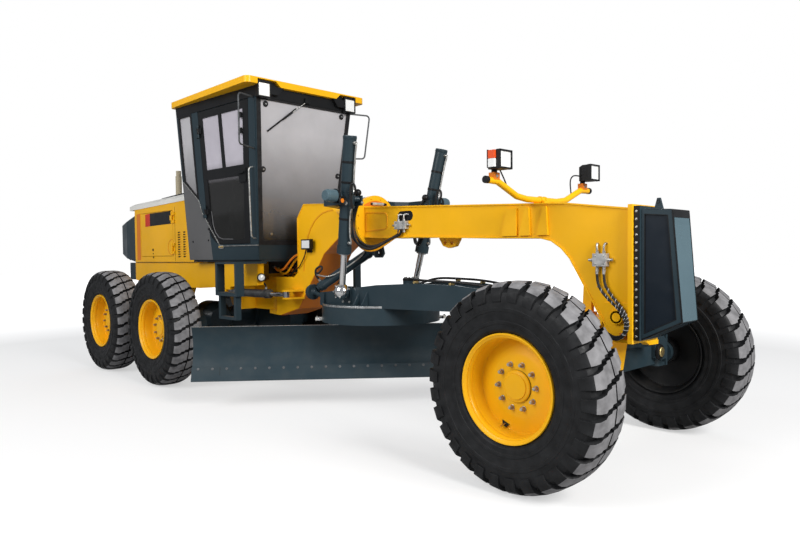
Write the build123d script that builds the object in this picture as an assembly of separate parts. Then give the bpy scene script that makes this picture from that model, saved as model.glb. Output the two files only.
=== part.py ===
"""Motor grader: an articulated machine in millimetres, +X forward, +Y left, +Z up.

The origin is on the ground, in the middle of the machine's length and width.  The rear
frame carries the cab, the engine and the tandem axle.  The front frame hinges on it and
carries the steered and leaning front wheels, the drawbar, the circle and the blade.
"""
import os
from math import atan2, cos, radians, sin

from build123d import *

os.makedirs("parts", exist_ok=True)

SIDES = (("right", -1), ("left", 1))        # name, sign of Y

# ---- running gear ------------------------------------------------------------------
FRONT_AXLE_X = 3540
TANDEM_X = -2220                # pivot of the tandem cases
TANDEM_SPACING = 1550
AXLES = (("front", FRONT_AXLE_X), ("mid", TANDEM_X + TANDEM_SPACING / 2),
         ("rear", TANDEM_X - TANDEM_SPACING / 2))
WHEEL_Y = 1040                  # centre plane of a wheel
TYRE_R = 650
TYRE_HALF = 180
BEAD_R = 318
RIM_R = 338                     # rim flange
RIM_HALF = 152
RIM_WALL = 18
FLANGE_T = 26
HUB_R = 100
HUB_INNER = 95                  # hub's inner end, from the wheel's centre plane
HUB_OUTER = 50
BOLT_PCD = 280
SPINDLE_R = 60
PIN_GAP = 0.3                   # running clearance at pins and rods
SEAT_GAP = 0.3                  # clearance of panes and panels in their seats
AXLE_Z = TYRE_R                 # wheel centres above the ground

# ---- front axle ---------------------------------------------------------------------
LEAN_Y = 640                    # lean pivots, along X
LEAN_Z = 690
LEAN_BOSS_R = 65
LEAN_PIN_R = 35
KINGPIN_Y = 800
KINGPIN_R = 25
POST_R = 55
POST_Z = (580, 800)
AXLE_HALF = 75                  # half width of the axle beam
AXLE_BEAM_Z = (590, 740)
CHEEK_T = 25
CHEEK_GAP = 2
LEAN_BAR_Z = 800
LEAN_BAR_R = 24
BAR_EYE_R = 32
BAR_PIN_R = 16
EAR_T = 28                      # knuckle ears
TIE_X = 230                     # tie rod behind the kingpins
AXLE_PIVOT_Z = 665
AXLE_PIVOT_R = 45

# ---- articulation --------------------------------------------------------------------
ARTIC_X = -610
ARTIC_PIN_R = 50
FORK_R = 120
FORK_LOW_Z = (806, 848)
FORK_HIGH_Z = (1192, 1234)
TONGUE_R = 110
ART_BASE = (-960, 430)          # articulation cylinder's pin on the rear frame, X and |Y|
ART_EYE = (20, 340)             # its pin on the front frame
ART_Z = 1055
ART_BORE_R = 32
ART_BARREL_R = 45
ART_ROD_R = 25
EYE_T = 60                      # height of the cylinder eyes

# ---- front frame ---------------------------------------------------------------------
BEAM_HALF = 150
NECK_X = (735, 1045)
NECK_Z = 1790
NECK_R = 150
RING_R = 260
RING_X = (1045, 1085)
END_PLATE_X = (3812, 3844)
END_PLATE_HALF = 190
GOOSE_HALF = 185
GOOSE_REAR_X = 20
DRAW_BALL = (3310, 0, 950)      # drawbar's ball, on the front frame
DRAW_BALL_R = 50

TOW_HOLE_R = 18
LOCK_HOLE_R = 22                # transport pin's hole in the saddle's lug

# ---- saddle and lift cylinders ---------------------------------------------------------
SADDLE_X = (890, 1035)
SADDLE_RING_X = 950             # the saddle's thick ring starts here, behind it a thin sleeve
SADDLE_R = 255
SLEEVE_R = 185
TRUNNION = (1304, 552, 1975)    # |Y|
LIFT_SOCKET = (1130, 480, 1130)
LIFT_TOP = 560                  # barrel above the trunnion
LIFT_BOTTOM = 500               # barrel below it
LIFT_BORE_R = 46
LIFT_BARREL_R = 60
LIFT_ROD_R = 30
TRUNNION_PIN_R = 26
SOCKET_R = 76
SOCKET_HOLLOW_R = 56
LIFT_BALL_R = 40
LIFT_LOW_DEG = -14              # drawbar's lowest reach
LIFT_HIGH_DEG = 4.75
SHIFT_BALL = (575, -400, 1105)  # centre shift cylinder's ball, behind the drawbar
SHIFT_EYE = (962, 420, 1700)    # its eye beside the saddle
SHIFT_EYE_R = 36
SHIFT_TUBE = (72, 750)          # its barrel, from the ball's centre
SHIFT_BORE_R = 36
SHIFT_BARREL_R = 48
SHIFT_ROD_R = 26

# ---- drawbar, circle and blade -----------------------------------------------------------
CIRCLE_X = 1140
CIRCLE_R = 575
CIRCLE_IN_R = 440
SHELF_Z = (984, 1006)           # drawbar's shelf, that the circle turns under
CIRCLE_Z = (830, SHELF_Z[0] - PIN_GAP)
DRAW_REAR = (740, 420)          # rear corner of the drawbar's side plates, X and |Y|
DRAW_PLATE_Z = 1215
BLADE_YAW = 49.4                # blade's length from the X axis
BLADE_LENGTH = 3660
BLADE_Z = (268, 790)
BLADE_T = 18
BLADE_SHIFT = 450
ARM_U = 400                     # circle arms along the blade

# ---- rear frame, hood ----------------------------------------------------------------
RAIL_Y = (390, 470)
RAIL_FRONT_X = -330
RAIL_REAR_X = -3560
RAIL_TOP_Z = 1395
ENGINE_BED_Z = 1394
HOOD_X = (-3533, -1690)
HOOD_HALF = 480
HOOD_BOTTOM_Z = 1400
HOOD_TOP_Z = (2143, 2190)       # at the rear end, at the front end
HOOD_WALL = 20
HOOD_OVERHANG = 150             # white cap beyond the sides, at the rear
HOOD_CAP_T = 92
HOOD_DOOR_X = (-3330, -2330)
HOOD_DOOR_Z = (1480, 2080)
HOOD_HINGES = (1580, 1980)
DOOR_GAP = 6
HINGE_OUT = 14                  # hinge pins stand off the wall
HINGE_R = 13
HINGE_PIN_R = 7
HINGE_LEAF = 60
CASE_Y = (590, 790)             # tandem case
CASE_R = 190

# ---- hood --------------------------------------------------------------------------
def hinge(wall, x, height, way):
    """A hinge standing off a wall: the fixed ears with their pin, and the moving knuckle.

    The wall's own x is where the pin stands, and the moving leaf reaches way (1 or -1) from it.
    """
    def at(v):
        return wall.from_local_coords(Vector(x, v, HINGE_OUT))

    def leaf(direction, low, high):
        reach = x + direction * HINGE_LEAF
        shape = make_face(Polyline((x, low), (reach, low), (reach, high), (x, high), close=True))
        return extrude((wall * shape).moved(Location(wall.z_dir * -2)), amount=HINGE_OUT + 2, dir=wall.z_dir)

    fixed = rod(at(height - 70), at(height + 70), HINGE_PIN_R)
    for low, high in ((height - 70, height - 32), (height + 32, height + 70)):
        fixed += rod(at(low), at(high), HINGE_R) + leaf(-way, low, high)
    moving = rod(at(height - 30), at(height + 30), HINGE_R) + leaf(way, height - 30, height + 30)
    return fixed, moving - rod(at(height - 31), at(height + 31), HINGE_PIN_R + PIN_GAP)


HOOD_WALL_LEFT = Plane(origin=(0, HOOD_HALF, 0), x_dir=(-1, 0, 0), z_dir=(0, 1, 0))
HOOD_HINGE_X = HOOD_DOOR_X[1] - DOOR_GAP / 2


def hood_outline(shrink=0.0, bottom=HOOD_BOTTOM_Z):
    """Side outline of the hood as (x, z); shrink moves its edges inwards."""
    x0, x1 = HOOD_X
    return [(x0 + shrink, bottom), (x1 - shrink, bottom), (x1 - shrink, HOOD_TOP_Z[1] - shrink),
            (x0 + shrink, HOOD_TOP_Z[0] - shrink)]


def engine_hood():
    hood = side_plate(hood_outline(), -HOOD_HALF, HOOD_HALF)
    inner = HOOD_HALF - HOOD_WALL
    hood -= side_plate(hood_outline(HOOD_WALL, HOOD_BOTTOM_Z - 10), -inner, inner)
    hood -= box(HOOD_DOOR_X, (-HOOD_HALF - 10, HOOD_HALF + 10), HOOD_DOOR_Z)
    foot = box(HOOD_X, (RAIL_Y[0] + 5, HOOD_HALF - 1), (RAIL_TOP_Z, HOOD_BOTTOM_Z + 12))
    for height in HOOD_HINGES:
        foot += hinge(HOOD_WALL_LEFT, -HOOD_HINGE_X, height, 1)[0]
    return hood + both(foot) - both(louvres())


def louvres():
    """Grid of shallow slots in the left side, behind the cab."""
    columns, rows, low, pitch = (-2201, -2053), 11, 1465, 31
    slots = [box((x, x + 98), (HOOD_HALF - 8, HOOD_HALF + 1), (low + pitch * row, low + pitch * row + 17))
             for x in columns for row in range(rows)]
    return Part() + slots


def hood_line(x):
    """Height of the hood's sloping top edge at x."""
    (x0, x1), (z0, z1) = HOOD_X, HOOD_TOP_Z
    return z0 + (z1 - z0) * (x - x0) / (x1 - x0)


def hood_top():
    """Sloping cap on the hood, with a bevelled edge all round."""
    x0, x1 = HOOD_X

    def section(rise, inset):
        low, high = x0 - HOOD_OVERHANG + inset, x1 - inset
        y = HOOD_HALF + 6 - inset
        corners = [(low, -y), (high, -y), (high, y), (low, y)]
        return make_face(Polyline(*[(x, yy, hood_line(x) + rise) for x, yy in corners], close=True))

    cap = loft([section(0, 0), section(HOOD_CAP_T - 37, 0)], ruled=True)
    return cap + loft([section(HOOD_CAP_T - 37, 0), section(HOOD_CAP_T, 60)], ruled=True)


def radiator_cover():
    """Dark guard behind the hood, chamfered towards the rear, and the bumper below it."""
    x_front, x_mid, x_rear = HOOD_X[0] - SEAT_GAP, -3860, -4190

    def ring(x, half, z_low, z_high):
        return make_face(Polyline((x, -half, z_low), (x, half, z_low), (x, half, z_high),
                                  (x, -half, z_high), close=True))

    cover = loft([ring(x_front, HOOD_HALF - 12, 1402, 2070), ring(x_mid, HOOD_HALF - 12, 1455, 1990)],
                 ruled=True)
    cover += loft([ring(x_mid, HOOD_HALF - 12, 1455, 1990), ring(x_rear, 400, 1524, 1948)], ruled=True)
    cover -= box((x_rear - 1, x_rear + 24), (-330, 330), (1575, 1900))
    bumper = box((-3800, RAIL_REAR_X), (-450, 450), (1150, 1394))
    return cover + bumper + box((-3760, -3600), (-300, 300), (1390, 1430))


def exhaust_stack():
    x, y = -2818, -150
    base = hood_line(x + 42) + HOOD_CAP_T + SEAT_GAP
    return rod((x, y, base), (x, y, base + 328), 42) + rod((x, y, base + 327), (x, y, base + 402), 34)


def hood_door(sign):
    (x0, x1), (z0, z1) = HOOD_DOOR_X, HOOD_DOOR_Z
    door = box((x0 + DOOR_GAP, x1 - DOOR_GAP), (HOOD_HALF - HOOD_WALL, HOOD_HALF),
               (z0 + DOOR_GAP, z1 - DOOR_GAP))
    for height in HOOD_HINGES:
        door += hinge(HOOD_WALL_LEFT, -HOOD_HINGE_X, height, 1)[1]
    return on_side(door, sign)


# ---- cab ---------------------------------------------------------------------------
CAB_FLOOR_Z = 1408
CAB_BASE_Z = 1430               # walls start
CAB_TOP_Z = 3234
GLASS_TOP_V = CAB_TOP_Z - CAB_BASE_Z - 104
CAB_REAR_X = -1635
CAB_FRONT_X = (-235, -30)       # at the base, at the top
CAB_HALF = (600, 745)           # of the rear wall, at the base, at the top
CAB_TAPER = 0.066               # each side wall comes in by this much per mm forward
CAB_WALL = 50
ROOF_X = (-1690, 28)
ROOF_HALF = 790
ROOF_T = 66
GLASS_T = 8
DOOR_REAR_X = -1185
DOOR_POST = 155                 # from the cab's front edge back to the door
DOOR_CORNER = (250, 265)        # width and height of its rounded lower rear corner
DOOR_HINGE_X = DOOR_REAR_X + DOOR_GAP / 2
DOOR_HINGES = (560, GLASS_TOP_V - 220)       # heights along the wall
DOOR_V = (175, GLASS_TOP_V)            # along the leaning wall, from its foot
LADDER_X = (-578, -138)
LADDER_Y = (755, 845)
LADDER_BOTTOM_Z = 802
LADDER_STEP_Z = 1050


def box(x, y, z):
    """Box between three pairs of limits."""
    (x0, x1), (y0, y1), (z0, z1) = sorted(x), sorted(y), sorted(z)
    return Pos((x0 + x1) / 2, (y0 + y1) / 2, (z0 + z1) / 2) * Box(x1 - x0, y1 - y0, z1 - z0)


def rod(start, end, radius):
    """Round bar from start to end."""
    start, end = Vector(*start), Vector(*end)
    return Solid.make_cylinder(radius, (end - start).length, Plane(origin=start, z_dir=end - start))


def pipe(points, radius, bend):
    """Round tube along straight runs with rounded corners."""
    path = FilletPolyline(*points, radius=bend)
    return sweep(Plane(origin=path @ 0, z_dir=path % 0) * Circle(radius), path=path)


def outline(points, radius=0):
    """Closed wire through 3-D points, its corners rounded when a radius is given."""
    if radius:
        return FilletPolyline(*points, radius=radius, close=True)
    return Polyline(*points, close=True)


def side_plate(points, y_low, y_high, radius=0):
    """Prism with its outline in the XZ plane."""
    face = make_face(outline([(x, y_low, z) for x, z in points], radius))
    return extrude(face, amount=y_high - y_low, dir=(0, 1, 0))


def flat_plate(points, z_low, z_high, radius=0):
    """Prism with its outline in the XY plane."""
    face = make_face(outline([(x, y, z_low) for x, y in points], radius))
    return extrude(face, amount=z_high - z_low, dir=(0, 0, 1))


def cross_plate(points, x_low, x_high, radius=0):
    """Prism with its outline in the YZ plane."""
    face = make_face(outline([(x_low, y, z) for y, z in points], radius))
    return extrude(face, amount=x_high - x_low, dir=(1, 0, 0))


def mirrored(shape):
    return mirror(shape, about=Plane.XZ)


def both(shape):
    return shape + mirrored(shape)


def on_side(shape, sign):
    """Shapes are drawn on the left; the right one is its mirror image."""
    return shape if sign > 0 else mirrored(shape)


def save(node, shape):
    solids = shape.solids()
    result = solids[0] if len(solids) == 1 else Compound(children=list(solids))
    result.label = node
    export_step(result, f"parts/{node}.step")


# ---- wheels -------------------------------------------------------------------------
def turned(section):
    """Ring turned about the Y axis from a section of (radius, y) points."""
    face = make_face(Polyline(*[(r, y, 0) for r, y in section], close=True))
    return revolve(face, axis=Axis.Y)


def tyre():
    bead = RIM_HALF - FLANGE_T - SEAT_GAP
    right = [(BEAD_R + SEAT_GAP, bead), (RIM_R + 4, bead + 2), (RIM_R + 22, RIM_HALF + 6),
             (470, TYRE_HALF - 8),
             (590, TYRE_HALF), (TYRE_R - 12, TYRE_HALF - 4), (TYRE_R, TYRE_HALF - 40)]
    return turned(right + [(r, -y) for r, y in reversed(right)])


def rim():
    """Rim with its deep disc and hub; the outside faces +Y."""
    barrel_r = BEAD_R - RIM_WALL
    lip = RIM_HALF - FLANGE_T
    barrel = turned([(barrel_r, -RIM_HALF), (RIM_R, -RIM_HALF), (RIM_R, -lip - 2), (BEAD_R, -lip),
                     (BEAD_R, lip), (RIM_R, lip + 2), (RIM_R, RIM_HALF), (barrel_r, RIM_HALF)])
    disc = turned([(HUB_R - 20, -2), (barrel_r + 4, -22), (barrel_r + 4, -4), (200, 14),
                   (BOLT_PCD / 2 + 45, 22), (HUB_R - 20, 22)])
    hub = turned([(SPINDLE_R + PIN_GAP, -HUB_INNER), (HUB_R, -HUB_INNER), (HUB_R, HUB_OUTER - 18),
                  (HUB_R - 18, HUB_OUTER), (0, HUB_OUTER), (0, 12), (SPINDLE_R + PIN_GAP, 12)])
    return barrel + disc + hub


def wheels():
    for axle, x in AXLES:
        for side, sign in SIDES:
            place = Pos(x, sign * WHEEL_Y, AXLE_Z)
            save(f"tyre_{axle}_{side}", place * on_side(tyre(), sign))
            save(f"rim_{axle}_{side}", place * on_side(rim(), sign))


def spindle(x, y_shoulder):
    """Left-hand spindle from its shoulder out into the hub."""
    y_hub = WHEEL_Y - HUB_INNER - CHEEK_GAP
    return (rod((x, y_shoulder, AXLE_Z), (x, y_hub, AXLE_Z), HUB_R - 10)
            + rod((x, y_hub, AXLE_Z), (x, WHEEL_Y + 8, AXLE_Z), SPINDLE_R))


# ---- rear frame ----------------------------------------------------------------------
def rear_frame():
    rail = side_plate([(RAIL_FRONT_X, RAIL_TOP_Z), (RAIL_FRONT_X - 12, 1150), (-1640, 1083), (-2900, 1083),
                       (RAIL_REAR_X, 1150), (RAIL_REAR_X, RAIL_TOP_Z)], *RAIL_Y)
    axle_saddle = side_plate([(TANDEM_X - 330, 1090), (TANDEM_X - 150, 790), (TANDEM_X + 150, 790),
                              (TANDEM_X + 330, 1090)], *RAIL_Y)
    cab_seat = box((-460, -340), RAIL_Y, (RAIL_TOP_Z - 1, CAB_FLOOR_Z))
    rear_seat = box((-1560, -1440), RAIL_Y, (RAIL_TOP_Z - 1, CAB_FLOOR_Z))
    frame = both(rail + axle_saddle + cab_seat + rear_seat)
    inner = RAIL_Y[0] + 1
    for x in ((-1100, -980), (-2000, -1880), (-3560, -3440)):
        frame += box(x, (-inner, inner), (1120, 1380))
    for x in ((-3180, -3080), (-2500, -2400)):
        frame += box(x, (-inner, inner), (1330, ENGINE_BED_Z))
    bearing = (FORK_LOW_Z[1] + 1, FORK_HIGH_Z[0] - 1)
    frame += box((-1040, ARTIC_X), (-TONGUE_R, TONGUE_R), bearing)
    frame += rod((ARTIC_X, 0, bearing[0]), (ARTIC_X, 0, bearing[1]), TONGUE_R)
    frame += box((-1100, -960), (-300, 300), (bearing[0], 1130))
    frame += rod((ARTIC_X, 0, FORK_LOW_Z[0] + 2), (ARTIC_X, 0, FORK_HIGH_Z[1] + 8), ARTIC_PIN_R)
    return frame + both(art_base_bracket())


def art_base_bracket():
    """Plates above and below the articulation cylinder's rear eye, with its pin."""
    x, y = ART_BASE
    half, plate, reach = EYE_T / 2 + 1, 16, 40
    bracket = box((x - 95, x + reach), (y - reach, y + reach), (ART_Z + half, 1125))
    bracket += box((x - 95, x + reach), (y - reach, y + reach), (ART_Z - half - plate, ART_Z - half))
    bracket += box((x - 95, x - 62), (y - reach, y + reach), (ART_Z - half, ART_Z + half))
    return bracket + rod((x, y, ART_Z - half - 1), (x, y, ART_Z + half + 1), 22)


def tandem_drive():
    """Axle housing with the two walking-beam cases and the wheel spindles."""
    y0, y1 = CASE_Y
    ends = (AXLES[1][1], AXLES[2][1])
    case = box(ends, CASE_Y, (AXLE_Z - CASE_R, AXLE_Z + CASE_R))
    for x in ends:
        case += rod((x, y0, AXLE_Z), (x, y1, AXLE_Z), CASE_R) + spindle(x, y1)
    case += rod((TANDEM_X, y0 - 40, AXLE_Z), (TANDEM_X, y1 + 25, AXLE_Z), 210)
    housing = rod((TANDEM_X, -y0, AXLE_Z), (TANDEM_X, y0, AXLE_Z), 140)
    housing += turned_x([(0, -230), (150, -230), (230, -120), (230, 120), (150, 230), (0, 230)], TANDEM_X)
    return both(case) + housing


def turned_x(section, x):
    """Solid turned about a line along X through the wheel centres' height; (radius, x) points."""
    face = make_face(Polyline(*[(x + along, r, 0) for r, along in section], close=True))
    return Pos(0, 0, AXLE_Z) * revolve(face, axis=Axis.X)


def engine_block():
    block = box((-3180, -2050), (-250, 250), (ENGINE_BED_Z + SEAT_GAP, 1850))
    block += box((-3050, -2200), (-170, 170), (1849, 1980))
    return block + rod((-3180, 0, 1600), (-3260, 0, 1600), 180)


# ---- cab ---------------------------------------------------------------------------
WALL_RISE = CAB_TOP_Z - CAB_BASE_Z
WALL_SLOPE = (CAB_HALF[1] - CAB_HALF[0]) / WALL_RISE
FRONT_LEAN = atan2(CAB_FRONT_X[1] - CAB_FRONT_X[0], WALL_RISE)


def cab_half(x, z):
    """Half of the cab's width at x and z."""
    return CAB_HALF[0] + WALL_SLOPE * (z - CAB_BASE_Z) - CAB_TAPER * (x - CAB_REAR_X)


LEFT_WALL = Plane(origin=(0, cab_half(0, CAB_BASE_Z), CAB_BASE_Z), x_dir=(-1, CAB_TAPER, 0),
                  z_dir=(CAB_TAPER, 1, -WALL_SLOPE))
FRONT_WALL = Plane(origin=(CAB_FRONT_X[0], 0, CAB_BASE_Z), x_dir=(0, 1, 0),
                   z_dir=(cos(FRONT_LEAN), 0, -sin(FRONT_LEAN)))
REAR_WALL = Plane(origin=(CAB_REAR_X, 0, CAB_BASE_Z), x_dir=(0, -1, 0), z_dir=(-1, 0, 0))


def wall_panel(wall, points, depth, thickness, radius=0):
    """Prism in a wall; its outline lies in the wall, from depth inwards by thickness."""
    line = FilletPolyline(*points, radius=radius, close=True) if radius else Polyline(*points, close=True)
    face = wall * make_face(line)
    inward = -wall.z_dir
    return extrude(face.moved(Location(inward * depth)), amount=thickness, dir=inward)


def left_panel(x_pair_points, depth, thickness, radius=0):
    """Prism in the left wall, its outline given as (x, height along the wall)."""
    return wall_panel(LEFT_WALL, [(-x, v) for x, v in x_pair_points], depth, thickness, radius)


def front_edge(height, back=0):
    """x of the cab's leaning front edge at a height over its base, moved back."""
    return CAB_FRONT_X[0] + (CAB_FRONT_X[1] - CAB_FRONT_X[0]) * height / WALL_RISE - back


def cab_shell(inset, z_low, z_high):
    """Tapered block of the cab's outside, or of its inside with an inset."""
    def ring(z):
        rear, front = CAB_REAR_X + inset, front_edge(z - CAB_BASE_Z, inset)
        wide, narrow = cab_half(rear, z) - inset, cab_half(front, z) - inset
        return make_face(Polyline((rear, -wide, z), (front, -narrow, z), (front, narrow, z),
                                  (rear, wide, z), close=True))
    return loft([ring(z_low), ring(z_high)], ruled=True)


def rectangle(x, y):
    return [(x[0], y[0]), (x[1], y[0]), (x[1], y[1]), (x[0], y[1])]


QUARTER_GLASS = [(-1600, 935), (-1325, 700), (-1325, GLASS_TOP_V), (-1600, GLASS_TOP_V)]
FRONT_GLASS = [(-490, 190), (490, 190), (600, GLASS_TOP_V), (-600, GLASS_TOP_V)]
REAR_GLASS = [(-560, 950), (560, 950), (630, GLASS_TOP_V - 20), (-630, GLASS_TOP_V - 20)]


def rear_corner(rear, low, wide, tall):
    """Points round a lower rear corner, from the rear edge to the bottom edge."""
    turns = [radians(turn) for turn in (0, 22.5, 45, 67.5, 90)]
    return [(rear + wide * (1 - cos(turn)), low + tall * (1 - sin(turn))) for turn in turns]


def door_outline(inset=0):
    """Door in the wall: its front edge follows the cab's post, its lower rear corner is round."""
    rear, low, high = DOOR_REAR_X + inset, DOOR_V[0] + inset, DOOR_V[1] - inset
    front = [(front_edge(v, DOOR_POST + inset), v) for v in (low, high)]
    return rear_corner(rear, low, *DOOR_CORNER) + front + [(rear, high)]


def cab_floor():
    ends = [(x, cab_half(x, CAB_BASE_Z) - 40) for x in (CAB_REAR_X + 20, CAB_FRONT_X[0] - 10)]
    return flat_plate([(x, -y) for x, y in ends] + [(x, y) for x, y in reversed(ends)], CAB_FLOOR_Z,
                      CAB_BASE_Z + 1)


def cab_frame():
    cab = cab_shell(0, CAB_BASE_Z, CAB_TOP_Z) - cab_shell(CAB_WALL, CAB_BASE_Z + 30, CAB_TOP_Z + 5)
    cab += cab_floor()
    cut = CAB_WALL + 20
    side_cut = left_panel(door_outline(), -10, cut + 10)
    side_cut += left_panel(QUARTER_GLASS, -10, cut + 10)
    cab -= both(side_cut)
    cab -= wall_panel(FRONT_WALL, FRONT_GLASS, -10, cut + 10)
    cab -= wall_panel(REAR_WALL, REAR_GLASS, -10, cut + 10)
    for height in DOOR_HINGES:
        cab += both(hinge(LEFT_WALL, -DOOR_HINGE_X, height, -1)[0])
    return cab


def mirror_bracket():
    """Thin tube loop standing on the front post, for a mirror."""
    low, high = (post_point(CAB_TOP_Z - drop) for drop in (634, 114))
    return pipe([low, low + Vector(115, 250, 10), high + Vector(115, 250, -10), high], 9, 40)


def post_point(z, back=55):
    """Point on the left front post's outer face."""
    x = front_edge(z - CAB_BASE_Z, back)
    return Vector(x, cab_half(x, z) - 8, z)


def cab_roof():
    """Roof slab, notched at its front corners round the two work lamps."""
    z0, front = CAB_TOP_Z + SEAT_GAP, ROOF_X[1]
    roof = flat_plate(rectangle(ROOF_X, (-ROOF_HALF, ROOF_HALF)), z0, z0 + ROOF_T, 60)
    notch = cross_plate([(370, z0 - 1), (655, z0 - 1), (655, z0 + ROOF_T - 12), (430, z0 + ROOF_T - 12)],
                        front - 50, front + 1)
    lamp = box((front - 54, front - 4), (495, 650), (z0 - 125, z0 + 40))
    lamp -= box((front - 10, front), (505, 640), (z0 - 115, z0 + 20))
    return roof - both(notch) + both(lamp)


def pane(wall, points):
    face = offset(make_face(Polyline(*points, close=True)), amount=-SEAT_GAP, kind=Kind.INTERSECTION)
    inward = -wall.z_dir
    return extrude((wall * face).moved(Location(inward * 10)), amount=GLASS_T, dir=inward)


def cab_glass():
    quarter = pane(LEFT_WALL, [(-x, v) for x, v in QUARTER_GLASS])
    return both(quarter) + pane(FRONT_WALL, FRONT_GLASS) + pane(REAR_WALL, REAR_GLASS)


DOOR_FRAME = 85                 # rear edge to the panes
DOOR_FRONT_FRAME = 105
DOOR_SILL = 50
DOOR_RAIL_V = (918, 1030)       # bar between the lower and the upper panes
DOOR_BAR_X = (-777, -722)       # bar between the upper panes
LOCK_NOTCH = (100, 80)          # width and height that the lock takes from the lower pane


def door_panes():
    """Outlines of the door's openings, the lower one first."""
    rear, low, high = DOOR_REAR_X + DOOR_FRAME, DOOR_V[0] + DOOR_SILL, DOOR_V[1] - DOOR_FRAME

    def front(v):
        return front_edge(v, DOOR_POST + DOOR_FRONT_FRAME)

    rail_low, rail_high = DOOR_RAIL_V
    notch_w, notch_h = LOCK_NOTCH
    notch_v, notch_x = rail_low - notch_h, front(rail_low) - notch_w
    lower = rear_corner(rear, low, 215, 225)
    lower += [(front(low), low), (front(notch_v), notch_v), (notch_x + 20, notch_v), (notch_x, rail_low),
              (rear, rail_low)]
    middle_rear = rectangle((rear, DOOR_BAR_X[0]), (rail_high, high))
    x = DOOR_BAR_X[1]
    return lower, middle_rear, [(x, rail_high), (front(rail_high), rail_high), (front(high), high), (x, high)]


def door(sign):
    leaf = left_panel(door_outline(DOOR_GAP), 0, CAB_WALL - 8)
    for points in door_panes():
        leaf -= left_panel(points, -10, CAB_WALL + 20)
    for height in DOOR_HINGES:
        leaf += hinge(LEFT_WALL, -DOOR_HINGE_X, height, -1)[1]
    return on_side(leaf, sign)


def door_glass(sign):
    glass = Part()
    for points in door_panes():
        glass += pane(LEFT_WALL, [(-x, v) for x, v in points])
    return on_side(glass, sign)


def seat():
    z0 = CAB_BASE_Z + 30
    base = box((-1180, -760), (-170, 170), (z0, z0 + 260))
    cushion = box((-1240, -700), (-250, 250), (z0 + 260, z0 + 400))
    back = side_plate([(-1240, z0 + 399), (-1120, z0 + 399), (-1230, z0 + 1020), (-1330, z0 + 1020)], -240,
                      240, 20)
    return base + cushion + back


def steering_console():
    """Steering column with its wheel and the two lever banks beside it."""
    z0 = CAB_BASE_Z + 30
    column = side_plate([(-420, z0), (-300, z0), (-470, z0 + 640), (-560, z0 + 600)], -70, 70)
    centre = Plane(origin=(-525, 0, z0 + 650), z_dir=(-0.45, 0, 0.89))
    wheel = centre * Torus(190, 14)
    hub = centre * Cylinder(32, 60)
    spokes = Part()
    for turn in (0, 120, 240):
        spokes += centre * (Rot(0, 0, turn) * Pos(95, 0, 0) * Box(200, 22, 10))
    banks = both(box((-480, -330), (75, 210), (z0 + 380, z0 + 620))
                 + box((-420, -370), (60, 160), (z0 + 420, z0 + 480)))
    return column + wheel + hub + spokes + banks


def access_ladders():
    """Steps hung under each side of the cab: a wide upper frame and a narrower one below it."""
    (x0, x1), (y0, y1) = LADDER_X, LADDER_Y
    top, step, post = CAB_FLOOR_Z - SEAT_GAP, LADDER_STEP_Z, 42
    ladder = box((x0, x1), (RAIL_Y[1] + 8, y1), (top - 20, top)) + box((x0, x1), (y0, y1), (step, step + 36))
    for x in (x0, x1 - post):
        ladder += box((x, x + post), (y0, y1), (step, top - 19))
    for x in (x0 + post, x1 - 2 * post):
        ladder += box((x, x + post), (y0 + 14, y1 - 14), (LADDER_BOTTOM_Z, step + 1))
    ladder += box((x0 + post, x1 - post), (y0 + 14, y1 - 14), (LADDER_BOTTOM_Z, LADDER_BOTTOM_Z + 28))
    return both(ladder)


# ---- front frame ---------------------------------------------------------------------
def gooseneck():
    """Curved plate box between the articulation fork and the beam's neck."""
    side = side_plate([(GOOSE_REAR_X, 1290), (GOOSE_REAR_X, 1870), (136, 2017), (569, 1996), (747, 1862),
                       (717, 1641), (481, 1488), (300, 1250), (182, 1100), (20, 900), (-330, FORK_LOW_Z[0]),
                       (-400, FORK_LOW_Z[0]), (-400, FORK_HIGH_Z[1]), (-60, FORK_HIGH_Z[1])],
                      -GOOSE_HALF, GOOSE_HALF)
    for low, high in (FORK_LOW_Z, FORK_HIGH_Z):
        plate = flat_plate([(ARTIC_X, -FORK_R), (-396, -GOOSE_HALF), (-396, GOOSE_HALF), (ARTIC_X, FORK_R)],
                           low, high)
        plate += rod((ARTIC_X, 0, low), (ARTIC_X, 0, high), FORK_R)
        side += plate - rod((ARTIC_X, 0, low - 1), (ARTIC_X, 0, high + 1), ARTIC_PIN_R + PIN_GAP)
    return side + both(art_eye_lugs())


def art_eye_lugs():
    """Plates above and below the articulation rod's eye."""
    x, y = ART_EYE
    half, plate = EYE_T / 2 + 1, 18
    lugs = Part()
    for low in (ART_Z + half, ART_Z - half - plate):
        lugs += flat_plate([(x - 120, GOOSE_HALF - 5), (x + 110, GOOSE_HALF - 5), (x + 40, y + 30),
                            (x - 30, y + 30)],
                           low, low + plate)
    return lugs


BEAM_TOP = ((3830, 1762), (3300, 1832), (1435, 1916), (1060, 1930))     # x, z
BEAM_RIBS = ((2741, 2886, 2797, 2886), (2909, 3012, 2962, 2998), (3069, 3168, 3127, 3155))
CABLE_HOLE = (3613, 1517, 55)   # x, z, radius


def beam_top(x):
    """Height of the beam's top at x."""
    for (x1, z1), (x0, z0) in zip(BEAM_TOP, BEAM_TOP[1:]):
        if x0 <= x <= x1:
            return z0 + (z1 - z0) * (x - x0) / (x1 - x0)
    return BEAM_TOP[-1][1]


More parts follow.
